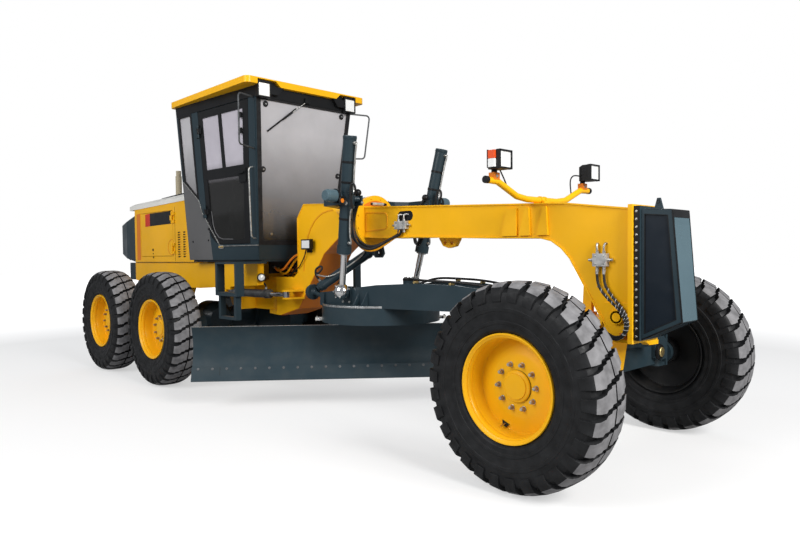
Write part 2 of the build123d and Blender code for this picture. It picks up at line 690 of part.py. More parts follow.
def front_frame():
    beam = side_plate([(1060, 1640), (1300, 1626), (1829, 1620), (2405, 1598), (3091, 1580), (3190, 1556),
                       (3275, 1500),
                       (3345, 1425), (3604, 992), (3700, 847), (3830, 847), *BEAM_TOP], -BEAM_HALF, BEAM_HALF)
    x, z, radius = CABLE_HOLE
    beam += both(beam_ribs()) - rod((x, -BEAM_HALF - 1, z), (x, -BEAM_HALF + 14, z), radius)
    end = box(END_PLATE_X, (-END_PLATE_HALF, END_PLATE_HALF), (847, 1788))
    ring = rod((RING_X[0], 0, NECK_Z), (RING_X[1], 0, NECK_Z), RING_R)
    neck = rod((NECK_X[0] - 60, 0, NECK_Z), (NECK_X[1], 0, NECK_Z), NECK_R)
    return beam + end + ring + neck + gooseneck() + axle_hanger() + tow_lug()


def beam_ribs():
    """Tapered gussets on the left of the beam, and the doubler with its boss low on the leg."""
    ribs = Part()
    for low_rear, low_front, top_rear, top_front in BEAM_RIBS:      # x at the foot, x at the top
        ribs += side_plate([(low_rear, 1602), (low_front, 1602), (top_front, 1815), (top_rear, 1815)],
                           BEAM_HALF - 1, BEAM_HALF + 20)
    ribs += side_plate([(3625, 1118), (3812, 1118), (3812, 852), (3712, 852), (3625, 985)], BEAM_HALF - 1,
                       BEAM_HALF + 10)
    return ribs + rod((3724, BEAM_HALF, 1022), (3724, BEAM_HALF + 34, 1022), 48)


def axle_hanger():
    """Plates that hold the axle's pivot pin, and the socket for the drawbar's ball."""
    front = FRONT_AXLE_X + AXLE_HALF + CHEEK_GAP
    rear = FRONT_AXLE_X - AXLE_HALF - CHEEK_GAP
    shape = [(-150, 870), (-70, AXLE_PIVOT_Z - 40), (-30, AXLE_PIVOT_Z - 68), (30, AXLE_PIVOT_Z - 68),
             (70, AXLE_PIVOT_Z - 40), (150, 870), (150, 1010), (-150, 1010)]
    hanger = cross_plate(shape, front, front + 30)
    hanger += cross_plate(shape, rear - 30, rear)
    hanger += box((rear - 30, 3600), (-150, 150), (960, 1010)) + box((front, 3800), (-150, 150), (846, 900))
    hanger += rod((rear - 1, 0, AXLE_PIVOT_Z), (front + 1, 0, AXLE_PIVOT_Z), AXLE_PIVOT_R)
    x, y, z = DRAW_BALL
    socket = box((x - 22, rear - 29), (-80, 80), (z - 80, z + 80))
    socket -= Pos(x, y, z) * Sphere(DRAW_BALL_R + PIN_GAP)
    rib = side_plate([(x + 60, z + 79), (rear - 20, z + 79), (rear - 20, 1250), (3380, 1250)], -20, 20)
    return hanger + socket + rib


def tow_lug():
    """Plate with two holes under the beam."""
    lug = side_plate([(1930, 1622), (2180, 1612), (2130, 1535), (2050, 1520), (1985, 1540)], -20, 20, 12)
    for x in (2010, 2090):
        lug -= rod((x, -30, 1566), (x, 30, 1566), TOW_HOLE_R)
    return lug


def nose_cover():
    """Closed guard ahead of the beam, narrower to the front, with sunk side panels and a lifting lug."""
    flange = box((END_PLATE_X[1], 3886), (-168, 168), (870, 1776))

    def plan(inset):
        ends = ((3880, 148 - inset), (4160, 118 - inset))
        return flat_plate([(x, -y) for x, y in ends] + [(x, y) for x, y in reversed(ends)], 800, 1800)

    shell = side_plate([(3885, 1752), (4085, 1742), (4150, 1006), (3885, 876)], -150, 150, 12) & plan(0)
    panel = side_plate([(3906, 1722), (4060, 1708), (4116, 1024), (3906, 918)], -150, 150) - plan(9)
    lug = side_plate([(3905, 1740), (3975, 1740), (3950, 1832), (3930, 1832)], -9, 9)
    return flange + (shell - panel) + lug


def saddle():
    """Yoke on the beam's neck, with the lift trunnion ears and the centre shift lug."""
    body = rod((SADDLE_RING_X, 0, NECK_Z), (SADDLE_X[1], 0, NECK_Z), SADDLE_R)
    body += rod((SADDLE_X[0], 0, NECK_Z), (SADDLE_X[1], 0, NECK_Z), SLEEVE_R)
    x_t, y_t, z_t = TRUNNION
    inner = y_t - LIFT_BARREL_R - 40
    clear = RING_R + 40
    arm = flat_plate([(SADDLE_X[0], 100), (SADDLE_X[0], clear), (x_t - 210, y_t + 100), (x_t - 95, y_t + 100),
                      (x_t - 95, inner - 18), (x_t - 200, inner - 18), (SADDLE_X[1], clear),
                      (SADDLE_X[1], 100)],
                     z_t - 60, z_t + 30)
    arm += box((x_t - 96, x_t + 85), (inner - 18, inner), (z_t - 60, z_t + 30))
    arm += box((x_t - 96, x_t + 45), (y_t + 85, y_t + 100), (z_t - 60, z_t + 30))
    body += both(arm) + shift_eye_lug() + lock_lug()
    body -= rod((SADDLE_X[0] - 5, 0, NECK_Z), (SADDLE_X[1] + 5, 0, NECK_Z), NECK_R + PIN_GAP)
    for sign in (-1, 1):
        centre, axis = lift_trunnion(sign)
        body -= rod(centre - axis * 140, centre + axis * 140, TRUNNION_PIN_R + PIN_GAP)
    return body


def shift_eye_lug():
    """Plate ahead of the centre shift rod's ball eye."""
    x, y, z = SHIFT_EYE
    x += SHIFT_EYE_R + 2
    return cross_plate([(170, z - 90), (y - 60, z - 62), (y + 20, z - 50), (y + 50, z - 15), (y + 50, z + 30),
                        (y + 10, z + 62), (210, z + 150)], x, x + 20)


def lock_lug():
    """Lug with a pin hole at the foot of the saddle."""
    x = (SADDLE_X[1] - 60, SADDLE_X[1] - 20)
    lug = cross_plate([(20, 1560), (40, 1480), (80, 1440), (150, 1440), (180, 1480), (160, 1560),
                       (130, 1600)], *x)
    return lug - rod((x[0] - 1, 112, 1490), (x[1] + 1, 112, 1490), LOCK_HOLE_R)


# ---- hydraulic cylinders -----------------------------------------------------------------
def swung(point, angle):
    """A point of the drawbar after it has swung about its ball by an angle in degrees."""
    arm = Vector(*point) - Vector(*DRAW_BALL)
    c, s = cos(radians(angle)), sin(radians(angle))
    return Vector(*DRAW_BALL) + Vector(c * arm.X + s * arm.Z, arm.Y, c * arm.Z - s * arm.X)


def side_point(point, sign):
    return Vector(point[0], sign * point[1], point[2])


def lift_trunnion(sign):
    """Centre and axis of a lift cylinder's trunnion: it swings square to the rod's two end positions."""
    centre = side_point(TRUNNION, sign)
    socket = side_point(LIFT_SOCKET, sign)
    axis = (socket - centre).cross(swung(socket, LIFT_LOW_DEG) - centre).normalized()
    return centre, axis if axis.Y > 0 else -axis


def lift_barrel(sign):
    centre, axis = lift_trunnion(sign)
    along = (side_point(LIFT_SOCKET, sign) - centre).normalized()
    half = LIFT_BARREL_R + 54
    pins = rod(centre - axis * half, centre + axis * half, TRUNNION_PIN_R)
    collar = rod(centre - along * 55, centre + along * 55, LIFT_BARREL_R + 12)
    gland = rod(centre + along * (LIFT_BOTTOM - 70), centre + along * LIFT_BOTTOM, LIFT_BARREL_R + 8)
    hollow = rod(centre - along * (LIFT_TOP - 25), centre + along * (LIFT_BOTTOM - 40), LIFT_BORE_R)
    passage = rod(centre, centre + along * (LIFT_BOTTOM + 1), LIFT_ROD_R + PIN_GAP)
    solid = rod(centre - along * LIFT_TOP, centre + along * LIFT_BOTTOM, LIFT_BARREL_R)
    solid += pins + collar + gland
    return solid - hollow - passage


def lift_rod(sign):
    centre, _ = lift_trunnion(sign)
    socket = side_point(LIFT_SOCKET, sign)
    along = (socket - centre).normalized()
    tail = centre - along * (LIFT_TOP - 220)
    shaft = rod(tail, socket - along * (SOCKET_R - 10), LIFT_ROD_R)
    piston = rod(tail, tail + along * 60, LIFT_BORE_R - 1)
    cup = Pos(*socket) * Sphere(SOCKET_R)
    cup -= Pos(*socket) * Sphere(SOCKET_HOLLOW_R)
    cup -= box((socket.X - 90, socket.X + 90), (socket.Y - sign * 26, socket.Y - sign * 90),
               (socket.Z - 90, socket.Z + 90))
    return shaft + piston + cup


def shift_direction():
    return (Vector(*SHIFT_EYE) - Vector(*SHIFT_BALL)).normalized()


def shift_barrel():
    """Barrel with a cup over the ball, open towards the ball's stud."""
    base, along = Vector(*SHIFT_BALL), shift_direction()
    start, end = SHIFT_TUBE
    cup = Pos(*base) * Sphere(78)
    cup -= box((base.X + 20, base.X + 100), (base.Y - 100, base.Y + 100), (base.Z - 100, base.Z + 100))
    solid = cup + rod(base + along * start, base + along * end, SHIFT_BARREL_R)
    solid += rod(base + along * 50, base + along * (start + 1), 34)
    solid -= rod(base + along * (start + 22), base + along * (end - 30), SHIFT_BORE_R)
    solid -= rod(base + along * (start + 22), base + along * (end + 1), SHIFT_ROD_R + PIN_GAP)
    return solid - Pos(*base) * Sphere(44)


def shift_rod():
    base, eye, along = Vector(*SHIFT_BALL), Vector(*SHIFT_EYE), shift_direction()
    tail = 250
    shaft = rod(base + along * tail, eye, SHIFT_ROD_R)
    piston = rod(base + along * tail, base + along * (tail + 40), SHIFT_BORE_R - 1)
    return shaft + piston + Pos(*eye) * Sphere(SHIFT_EYE_R)


def art_ends(sign):
    base = Vector(ART_BASE[0], sign * ART_BASE[1], ART_Z)
    eye = Vector(ART_EYE[0], sign * ART_EYE[1], ART_Z)
    return base, eye, (eye - base).normalized()


def art_barrel(sign):
    base, eye, along = art_ends(sign)
    length = 700
    solid = rod(base + along * 20, base + along * length, ART_BARREL_R)
    solid += rod(base - Vector(0, 0, EYE_T / 2), base + Vector(0, 0, EYE_T / 2), 38)
    solid -= rod(base - Vector(0, 0, EYE_T), base + Vector(0, 0, EYE_T), 22 + PIN_GAP)
    solid -= box((base.X - 60, base.X + 72), (base.Y - 60, base.Y + 60), (base.Z + EYE_T / 2, base.Z + 90))
    solid -= box((base.X - 60, base.X + 72), (base.Y - 60, base.Y + 60), (base.Z - 90, base.Z - EYE_T / 2))
    solid -= rod(base + along * 80, base + along * (length - 40), ART_BORE_R)
    return solid - rod(base + along * 80, base + along * (length + 1), ART_ROD_R + PIN_GAP)


def art_rod(sign):
    base, eye, along = art_ends(sign)
    shaft = rod(base + along * 300, eye, ART_ROD_R)
    shaft += rod(base + along * 300, base + along * 340, ART_BORE_R - 1)
    return shaft + rod(eye - Vector(0, 0, EYE_T / 2), eye + Vector(0, 0, EYE_T / 2), 38)


# ---- front axle and steering ---------------------------------------------------------------
def front_axle():
    x = (FRONT_AXLE_X - AXLE_HALF, FRONT_AXLE_X + AXLE_HALF)
    axle = box(x, (-LEAN_Y, LEAN_Y), AXLE_BEAM_Z)
    for sign in (-1, 1):
        axle += rod((x[0], sign * LEAN_Y, LEAN_Z), (x[1], sign * LEAN_Y, LEAN_Z), LEAN_BOSS_R)
        axle -= rod((x[0] - 1, sign * LEAN_Y, LEAN_Z), (x[1] + 1, sign * LEAN_Y, LEAN_Z), LEAN_PIN_R
                    + PIN_GAP)
    axle -= rod((x[0] - 1, 0, AXLE_PIVOT_Z), (x[1] + 1, 0, AXLE_PIVOT_Z), AXLE_PIVOT_R + PIN_GAP)
    return axle


def lean_bracket(sign):
    """Hinged piece at the axle's end, with the post that the knuckle turns on."""
    front = FRONT_AXLE_X + AXLE_HALF + CHEEK_GAP
    rear = FRONT_AXLE_X - AXLE_HALF - CHEEK_GAP
    shape = [(LEAN_Y - 60, LEAN_Z - 45), (LEAN_Y + 20, LEAN_Z - 68), (KINGPIN_Y, LEAN_Z - 68),
             (KINGPIN_Y, LEAN_Z + 68),
             (LEAN_Y + 60, LEAN_BAR_Z + 34), (LEAN_Y - 40, LEAN_BAR_Z + 34), (LEAN_Y - 60, LEAN_Z + 45)]
    piece = cross_plate(shape, front, front + CHEEK_T) + cross_plate(shape, rear - CHEEK_T, rear)
    piece += rod((rear - 1, LEAN_Y, LEAN_Z), (front + 1, LEAN_Y, LEAN_Z), LEAN_PIN_R)
    piece += rod((rear - 1, LEAN_Y, LEAN_BAR_Z), (front + 1, LEAN_Y, LEAN_BAR_Z), BAR_PIN_R)
    piece += box((rear - CHEEK_T, front + CHEEK_T), (LEAN_Y + LEAN_BOSS_R + 12, KINGPIN_Y),
                 (LEAN_Z - 66, LEAN_Z + 66))
    piece += rod((FRONT_AXLE_X, KINGPIN_Y, POST_Z[0]), (FRONT_AXLE_X, KINGPIN_Y, POST_Z[1]), POST_R)
    piece -= rod((FRONT_AXLE_X, KINGPIN_Y, POST_Z[0] - 1), (FRONT_AXLE_X, KINGPIN_Y, POST_Z[1] + 1),
                 KINGPIN_R + PIN_GAP)
    keep_clear = rod((FRONT_AXLE_X, KINGPIN_Y, POST_Z[0]), (FRONT_AXLE_X, KINGPIN_Y, POST_Z[1]), 400)
    keep_clear -= rod((FRONT_AXLE_X, KINGPIN_Y, POST_Z[0] - 1), (FRONT_AXLE_X, KINGPIN_Y, POST_Z[1] + 1),
                      POST_R + 0.1)
    piece -= keep_clear & box((FRONT_AXLE_X - 300, FRONT_AXLE_X + 300), (KINGPIN_Y - 8, KINGPIN_Y + 100),
                              (500, 900))
    return on_side(piece, sign)


def knuckle(sign):
    """Fork over the post, with the wheel's spindle and the steering arm."""
    x, y = FRONT_AXLE_X, KINGPIN_Y
    web = y + POST_R + 12
    low, high = POST_Z[0] - 1, POST_Z[1] + 1
    piece = rod((x, y, low - EAR_T), (x, y, low), 48) + rod((x, y, high), (x, y, high + EAR_T), 48)
    for z in ((low - EAR_T, low), (high, high + EAR_T)):
        piece += box((x - 48, x + 48), (y, web + 30), z)
    piece += box((x - 60, x + 60), (web, web + 30), (low - EAR_T, high + EAR_T))
    piece += rod((x, y, low - 5), (x, y, high + 5), KINGPIN_R)
    piece += spindle(x, web + 29)
    arm = flat_plate([(x - 20, y - 40), (x - 20, y + 40), (x - TIE_X, y + 28), (x - TIE_X - 28, y + 12),
                      (x - TIE_X - 28, y - 12), (x - TIE_X, y - 28)], low - EAR_T, low)
    piece += arm
    return on_side(piece, sign)


def lean_bar():
    x, y, z = FRONT_AXLE_X, LEAN_Y, LEAN_BAR_Z
    bar = rod((x, -y, z), (x, y, z), LEAN_BAR_R)
    for sign in (-1, 1):
        bar += rod((x - AXLE_HALF, sign * y, z), (x + AXLE_HALF, sign * y, z), BAR_EYE_R)
        bar -= rod((x - AXLE_HALF - 1, sign * y, z), (x + AXLE_HALF + 1, sign * y, z), BAR_PIN_R + PIN_GAP)
    return bar


TIE_Z = POST_Z[0] - 1           # top of the steering arms


def tie_rod_end():
    """Swivel block on the right steering arm."""
    x, y = FRONT_AXLE_X - TIE_X, -KINGPIN_Y
    block = rod((x, y, TIE_Z + PIN_GAP), (x, y, TIE_Z + 60), 26)
    return block - rod((x - 40, y, TIE_Z + 36), (x + 40, y, TIE_Z + 36), 12 + PIN_GAP)


def tie_rod():
    """Forked at the right end, with an open eye over the left steering arm."""
    x, y, z = FRONT_AXLE_X - TIE_X, KINGPIN_Y, TIE_Z + 36
    bar = rod((x - 33, -y, z), (x + 33, -y, z), 12)
    for side in (-1, 1):
        bar += box((x + side * 33 - 5, x + side * 33 + 5), (-y - 18, -y + 70), (z - 18, z + 18))
    bar += box((x - 38, x + 38), (-y + 60, -y + 72), (z - 18, z + 18))
    bar += rod((x, -y + 65, z), (x, y - 20, z), 20)
    return bar + rod((x, y, z - 24), (x, y, z + 24), 30)


# ---- drawbar, circle and blade -----------------------------------------------------------
def drawbar():
    """A-frame with its round shelf over the circle, and the studs of the lift and shift cylinders."""
    x_rear, y_rear = DRAW_REAR
    z0, z1 = SHELF_Z
    x_mid, x_nose, y_nose, wall, z_rear = 1350, 3120, 60, 24, 1105
    shelf = rod((CIRCLE_X, 0, z0), (CIRCLE_X, 0, z1), CIRCLE_R - 10)
    shelf += flat_plate([(x_rear, -y_rear), (x_mid, -y_rear), (x_nose, -y_nose), (x_nose, y_nose),
                         (x_mid, y_rear),
                         (x_rear, y_rear)], z0, z1)
    shelf -= rod((CIRCLE_X, 0, z0 - 1), (CIRCLE_X, 0, z1 + 1), 335)
    shelf -= flat_plate([(1740, -225), (2560, -125), (2560, 125), (1740, 225)], z0 - 1, z1 + 1)
    plate = flat_plate([(x_rear, y_rear - wall), (x_mid, y_rear - wall), (x_nose, y_nose - wall),
                        (x_nose, y_nose),
                        (x_mid, y_rear), (x_rear, y_rear)], z0, DRAW_PLATE_Z)
    plate &= side_plate([(x_rear, z0), (3200, z0), (3200, 1010), (2750, 1150), (2300, DRAW_PLATE_Z - 10),
                         (1900, DRAW_PLATE_Z), (1500, DRAW_PLATE_Z - 20), (x_rear, z_rear)], -600, 600)
    frame = shelf + both(plate) + box((x_rear, x_rear + wall), (-y_rear, y_rear), (z0, z_rear))
    frame += box((3060, 3190), (-62, 62), (905, 1010))
    x, y, z = DRAW_BALL
    frame += rod((3180, 0, z), (x, 0, z), 28) + Pos(x, y, z) * Sphere(DRAW_BALL_R)
    for sign in (-1, 1):
        socket = side_point(LIFT_SOCKET, sign)
        frame += rod((socket.X, sign * y_rear, socket.Z), socket, 24) + Pos(*socket) * Sphere(LIFT_BALL_R)
        frame += box((socket.X - 60, socket.X + 60), (sign * (y_rear - 10), sign * (y_rear + 10)),
                     (z0, socket.Z + 45))
    sx, sy, sz = SHIFT_BALL
    frame += Pos(*SHIFT_BALL) * Sphere(40) + rod((x_rear + 5, sy, sz - 40), SHIFT_BALL, 20)
    frame += box((x_rear, x_rear + 60), (sy - 40, sy + 60), (z0, sz + 5))
    return frame + circle_drive() + both(gussets(y_rear)) + circle_shoes()


def gussets(y_rear):
    ribs = Part()
    for x in (1290, 1400):
        ribs += cross_plate([(y_rear - 10, SHELF_Z[1] - 2), (y_rear + 70, SHELF_Z[1] - 2),
                             (y_rear - 10, 1130)], x, x + 14)
    return ribs


def circle_drive():
    """Gear housing and motor that turn the circle."""
    x = CIRCLE_X + CIRCLE_IN_R - 20
    drive = rod((x, 0, SHELF_Z[0]), (x, 0, 1120), 115) + rod((x, 0, 1119), (x, 0, 1225), 75)
    return drive + box((x - 60, x + 60), (-240, 0), (1030, 1110))


def circle_shoes():
    """Guide shoes that hold the circle's inner edge from the shelf."""
    shoes = Part()
    for turn in (45, 135, 225, 315):
        c, s = cos(radians(turn)), sin(radians(turn))
        r = CIRCLE_IN_R - 38
        shoes += rod((CIRCLE_X + r * c, r * s, CIRCLE_Z[0] + 40), (CIRCLE_X + r * c, r * s, SHELF_Z[0] + 1),
                     32)
    return shoes


def blade_place(shape):
    """From the blade's own frame, along X and facing -Y, to its place under the circle."""
    return Pos(CIRCLE_X, 0, 0) * (Rot(0, 0, BLADE_YAW) * shape)


def circle():
    z0, z1 = CIRCLE_Z
    ring = rod((CIRCLE_X, 0, z0), (CIRCLE_X, 0, z1), CIRCLE_R)
    ring -= rod((CIRCLE_X, 0, z0 - 1), (CIRCLE_X, 0, z1 + 1), CIRCLE_IN_R)
    face = RAIL_BACK + SEAT_GAP
    arm = Part()
    for u in (-ARM_U, ARM_U):
        arm += cross_plate([(330, z0 + 2), (230, z0 + 2), (face, 660), (face, 350), (150, 350), (330, 640)],
                           u - 32, u + 32)
    arm += box((-ARM_U, ARM_U), (200, 240), (600, 680))
    return ring + blade_place(arm)


RAILS = ((610, 38), (400, -8))  # slide rails on the blade's back: height, front face
RAIL_BACK = 82
BLADE_FOOT = ((-60, 308), (-22, 400))    # the straight foot's front face
EDGE_T = 14


def moldboard():
    """Curved blade on a straight foot, with two slide rails on its back."""
    (y0, z0), (y1, z1) = BLADE_FOOT
    top = (-30, BLADE_Z[1])
    middle = (34, 560)
    front = [Line((0, y0, z0), (0, y1, z1)), ThreePointArc((0, y1, z1), (0, *middle), (0, *top))]
    back = [ThreePointArc((0, top[0] + BLADE_T, top[1]), (0, middle[0] + BLADE_T, middle[1]),
                          (0, y1 + BLADE_T, z1)),
            Line((0, y1 + BLADE_T, z1), (0, y0 + BLADE_T, z0))]
    lip = Line(front[1] @ 1, back[0] @ 0)
    face = make_face(Wire([*front, lip, *back, Line(back[1] @ 1, front[0] @ 0)]))
    plate = Pos(-BLADE_LENGTH / 2, 0, 0) * extrude(face, amount=BLADE_LENGTH, dir=(1, 0, 0))
    reach = ARM_U + BLADE_SHIFT + 120
    for z, y_front in RAILS:
        plate += box((-reach, reach), (y_front, RAIL_BACK), (z - 18, z + 18))
    return blade_place(plate)


def cutting_edge():
    """Straight edge bolted in front of the blade's foot."""
    (y0, z0), (y1, z1) = BLADE_FOOT
    length = ((y1 - y0) ** 2 + (z1 - z0) ** 2) ** 0.5
    along = ((y0 - y1) / length, (z0 - z1) / length)
    out = (along[1], -along[0])
    reach = (z1 - BLADE_Z[0]) / -along[1]
    corners = [(0, SEAT_GAP), (reach, SEAT_GAP), (reach, SEAT_GAP + EDGE_T), (0, SEAT_GAP + EDGE_T)]
    section = [(y1 + d * along[0] + n * out[0], z1 + d * along[1] + n * out[1]) for d, n in corners]
    return blade_place(cross_plate(section, -BLADE_LENGTH / 2, BLADE_LENGTH / 2))


# ---- lamps -------------------------------------------------------------------------
LAMP_X = 3007
LAMP_Y = 690
LAMP_FOOT_Z = 2062


def lamp_bar():
    z = beam_top(LAMP_X) + 16
    points = [(LAMP_X, -LAMP_Y, 1989), (LAMP_X, -560, 1985), (LAMP_X, -330, z + 30), (LAMP_X, -200, z + 14),
              (LAMP_X, 200, z + 14), (LAMP_X, 330, z + 30), (LAMP_X, 560, 1985), (LAMP_X, LAMP_Y, 1989)]
    bar = pipe(points, 24, 60)
    bar += box((LAMP_X - 50, LAMP_X + 50), (-40, 40), (beam_top(LAMP_X - 50) + SEAT_GAP, z + 8))
    y = LAMP_Y - 95
    foot = box((LAMP_X - 22, LAMP_X + 22), (y - 30, y + 30), (1990, 2042))
    return bar + both(foot + rod((LAMP_X, y, 2040), (LAMP_X, y, LAMP_FOOT_Z), 14))


def headlamps():
    x0, x1, y0, y1 = LAMP_X - 7, LAMP_X + 110, LAMP_Y - 155, LAMP_Y - 15
    z0, z1 = LAMP_FOOT_Z + SEAT_GAP, LAMP_FOOT_Z + 130
    lamp = box((x0 + 40, x1), (y0, y1), (z0, z1))
    lamp += loft([cross_face(x0, (y0 + 18, y1 - 18), (z0, z1 - 14)),
                  cross_face(x0 + 41, (y0, y1), (z0, z1))], ruled=True)
    return both(lamp - box((x1 - 9, x1 + 1), (y0 + 9, y1 - 9), (z0 + 9, z1 - 9)))


def cross_face(x, y, z):
    """Rectangle across the vehicle."""
    return make_face(Polyline((x, y[0], z[0]), (x, y[1], z[0]), (x, y[1], z[1]), (x, y[0], z[1]), close=True))


save("rear_frame", rear_frame())
save("tandem_drive", tandem_drive())
save("engine_block", engine_block())
save("engine_hood", engine_hood())
save("hood_top", hood_top())
save("radiator_cover", radiator_cover())
save("exhaust_stack", exhaust_stack())
save("cab_frame", cab_frame())
save("cab_roof", cab_roof())
save("mirror_arms", both(mirror_bracket()) - cab_shell(-SEAT_GAP, CAB_BASE_Z, CAB_TOP_Z))
save("cab_glass", cab_glass())
save("seat", seat())
save("steering_console", steering_console())
save("access_ladders", access_ladders())
save("front_frame", front_frame())
save("nose_cover", nose_cover())
save("saddle", saddle())
save("lamp_bar", lamp_bar())
save("headlamps", headlamps())
save("front_axle", front_axle())
save("lean_bar", lean_bar())
save("tie_rod_end", tie_rod_end())
save("tie_rod", tie_rod())
save("drawbar", drawbar())
save("circle", circle())
save("moldboard", moldboard())
save("cutting_edge", cutting_edge())
save("shift_barrel", shift_barrel())
save("shift_rod", shift_rod())
for side, sign in SIDES:
    save(f"hood_door_{side}", hood_door(sign))
    save(f"door_{side}", door(sign))
    save(f"door_glass_{side}", door_glass(sign))
    save(f"lean_bracket_{side}", lean_bracket(sign))
    save(f"knuckle_{side}", knuckle(sign))
    save(f"lift_barrel_{side}", lift_barrel(sign))
    save(f"lift_rod_{side}", lift_rod(sign))
    save(f"art_barrel_{side}", art_barrel(sign))
    save(f"art_rod_{side}", art_rod(sign))
wheels()
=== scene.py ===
"""Motor grader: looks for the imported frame, in metres, +X forward, +Y left, ground at Z 0."""
from math import cos, pi, radians, sin

import bmesh
import bpy
from mathutils import Matrix, Vector


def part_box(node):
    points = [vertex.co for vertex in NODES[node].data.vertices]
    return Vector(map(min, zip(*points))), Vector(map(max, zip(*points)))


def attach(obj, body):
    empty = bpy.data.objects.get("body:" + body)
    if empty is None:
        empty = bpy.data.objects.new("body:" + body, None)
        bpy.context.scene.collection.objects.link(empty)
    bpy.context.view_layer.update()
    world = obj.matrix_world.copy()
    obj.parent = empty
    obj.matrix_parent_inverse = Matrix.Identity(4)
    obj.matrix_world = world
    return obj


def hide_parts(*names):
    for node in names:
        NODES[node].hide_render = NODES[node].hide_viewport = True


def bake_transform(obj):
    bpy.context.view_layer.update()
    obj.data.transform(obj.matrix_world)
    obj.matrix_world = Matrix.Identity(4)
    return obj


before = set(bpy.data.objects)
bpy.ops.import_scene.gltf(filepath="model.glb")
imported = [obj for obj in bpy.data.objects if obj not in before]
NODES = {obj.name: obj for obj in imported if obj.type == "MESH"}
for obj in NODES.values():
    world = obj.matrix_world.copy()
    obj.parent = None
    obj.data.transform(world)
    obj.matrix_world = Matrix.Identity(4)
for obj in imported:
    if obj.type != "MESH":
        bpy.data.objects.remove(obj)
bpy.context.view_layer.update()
SIDES = (("right", -1), ("left", 1))
AXLES = (("front", 3.540), ("mid", -1.445), ("rear", -2.995))
WHEEL_Y, WHEEL_Z = 1.040, 0.650
X, Y, Z = Vector((1, 0, 0)), Vector((0, 1, 0)), Vector((0, 0, 1))
ORIGIN = (0, 0, 0)


# ---- materials -----------------------------------------------------------------------
class Shader:
    """A Principled material with the nodes that vary it."""

    def __init__(self, name, color, roughness, metallic=0.0, coat=0.0):
        self.material = bpy.data.materials.new(name)
        self.material.use_nodes = True
        self.tree = self.material.node_tree
        self.bsdf = self.tree.nodes["Principled BSDF"]
        self.bsdf.inputs["Base Color"].default_value = (*color, 1)
        self.bsdf.inputs["Roughness"].default_value = roughness
        self.bsdf.inputs["Metallic"].default_value = metallic
        self.bsdf.inputs["Coat Weight"].default_value = coat
        self.bsdf.inputs["Coat Roughness"].default_value = 0.12
        self.bump = None
        self.where = self.node("ShaderNodeTexCoord").outputs["Object"]

    def node(self, kind, **values):
        """A new node with its settings."""
        made = self.tree.nodes.new(kind)
        for key, value in values.items():
            setattr(made, key, value)
        return made

    def link(self, a, b):
        """Joins an output to an input."""
        self.tree.links.new(a, b)

    def noise(self, scale, detail=3.0, stretch=None):
        """Noise over the piece, optionally drawn out along its axes."""
        noise = self.node("ShaderNodeTexNoise")
        noise.inputs["Scale"].default_value = scale
        noise.inputs["Detail"].default_value = detail
        source = self.where
        if stretch:
            mapping = self.node("ShaderNodeMapping")
            mapping.inputs["Scale"].default_value = stretch
            self.link(self.where, mapping.inputs["Vector"])
            source = mapping.outputs["Vector"]
        self.link(source, noise.inputs["Vector"])
        return noise.outputs["Fac"]

    def ramp(self, fac, low, high, start=0.35, end=0.65):
        """fac between start and end becomes a colour from low to high."""
        ramp = self.node("ShaderNodeValToRGB")
        ramp.color_ramp.elements[0].position = start
        ramp.color_ramp.elements[0].color = (*low, 1)
        ramp.color_ramp.elements[1].position = end
        ramp.color_ramp.elements[1].color = (*high, 1)
        self.link(fac, ramp.inputs["Fac"])
        return ramp.outputs["Color"]

    def spread(self, fac, low, high, start=0.35, end=0.65):
        """fac between start and end becomes a number from low to high."""
        mapped = self.node("ShaderNodeMapRange")
        for key, value in (("From Min", start), ("From Max", end), ("To Min", low), ("To Max", high)):
            mapped.inputs[key].default_value = value
        self.link(fac, mapped.inputs["Value"])
        return mapped.outputs["Result"]

    def veiled(self, under, over, amount):
        """A colour output under a veil of another colour, as thick as amount."""
        mix = self.node("ShaderNodeMix", data_type="RGBA")
        factor, first, second = (mix.inputs[place] for place in (0, 6, 7))
        self.link(amount, factor)
        self.link(under, first)
        second.default_value = (*over, 1)
        return mix.outputs[2]

    def math(self, operation, a, b):
        """One sum of two outputs."""
        made = self.node("ShaderNodeMath", operation=operation)
        self.link(a, made.inputs[0])
        self.link(b, made.inputs[1])
        return made.outputs[0]

    def paint(self, output):
        """The output becomes the colour."""
        self.link(output, self.bsdf.inputs["Base Color"])

    def rough(self, output):
        """The output becomes the roughness."""
        self.link(output, self.bsdf.inputs["Roughness"])

    def bumped(self, height, strength, distance):
        """One more layer of relief on top of the ones before."""
        bump = self.node("ShaderNodeBump")
        bump.inputs["Strength"].default_value = strength
        bump.inputs["Distance"].default_value = distance
        self.link(height, bump.inputs["Height"])
        if self.bump:
            self.link(self.bump, bump.inputs["Normal"])
        self.bump = bump.outputs["Normal"]
        self.link(self.bump, self.bsdf.inputs["Normal"])

    def height(self, source=None):
        """Height above the ground of the shaded point."""
        split = self.node("ShaderNodeSeparateXYZ")
        self.link(source or self.where, split.inputs["Vector"])
        return split.outputs["Z"]


def darker(color, by):
    """The colour with every channel scaled down."""
    return tuple(c * by for c in color)


def lighter(color, by, lift=0.0):
    """The colour scaled up, and lifted where that is too little on black."""
    return tuple(min(1, c * by + lift) for c in color)


ROAD_DUST = (0.30, 0.26, 0.20)


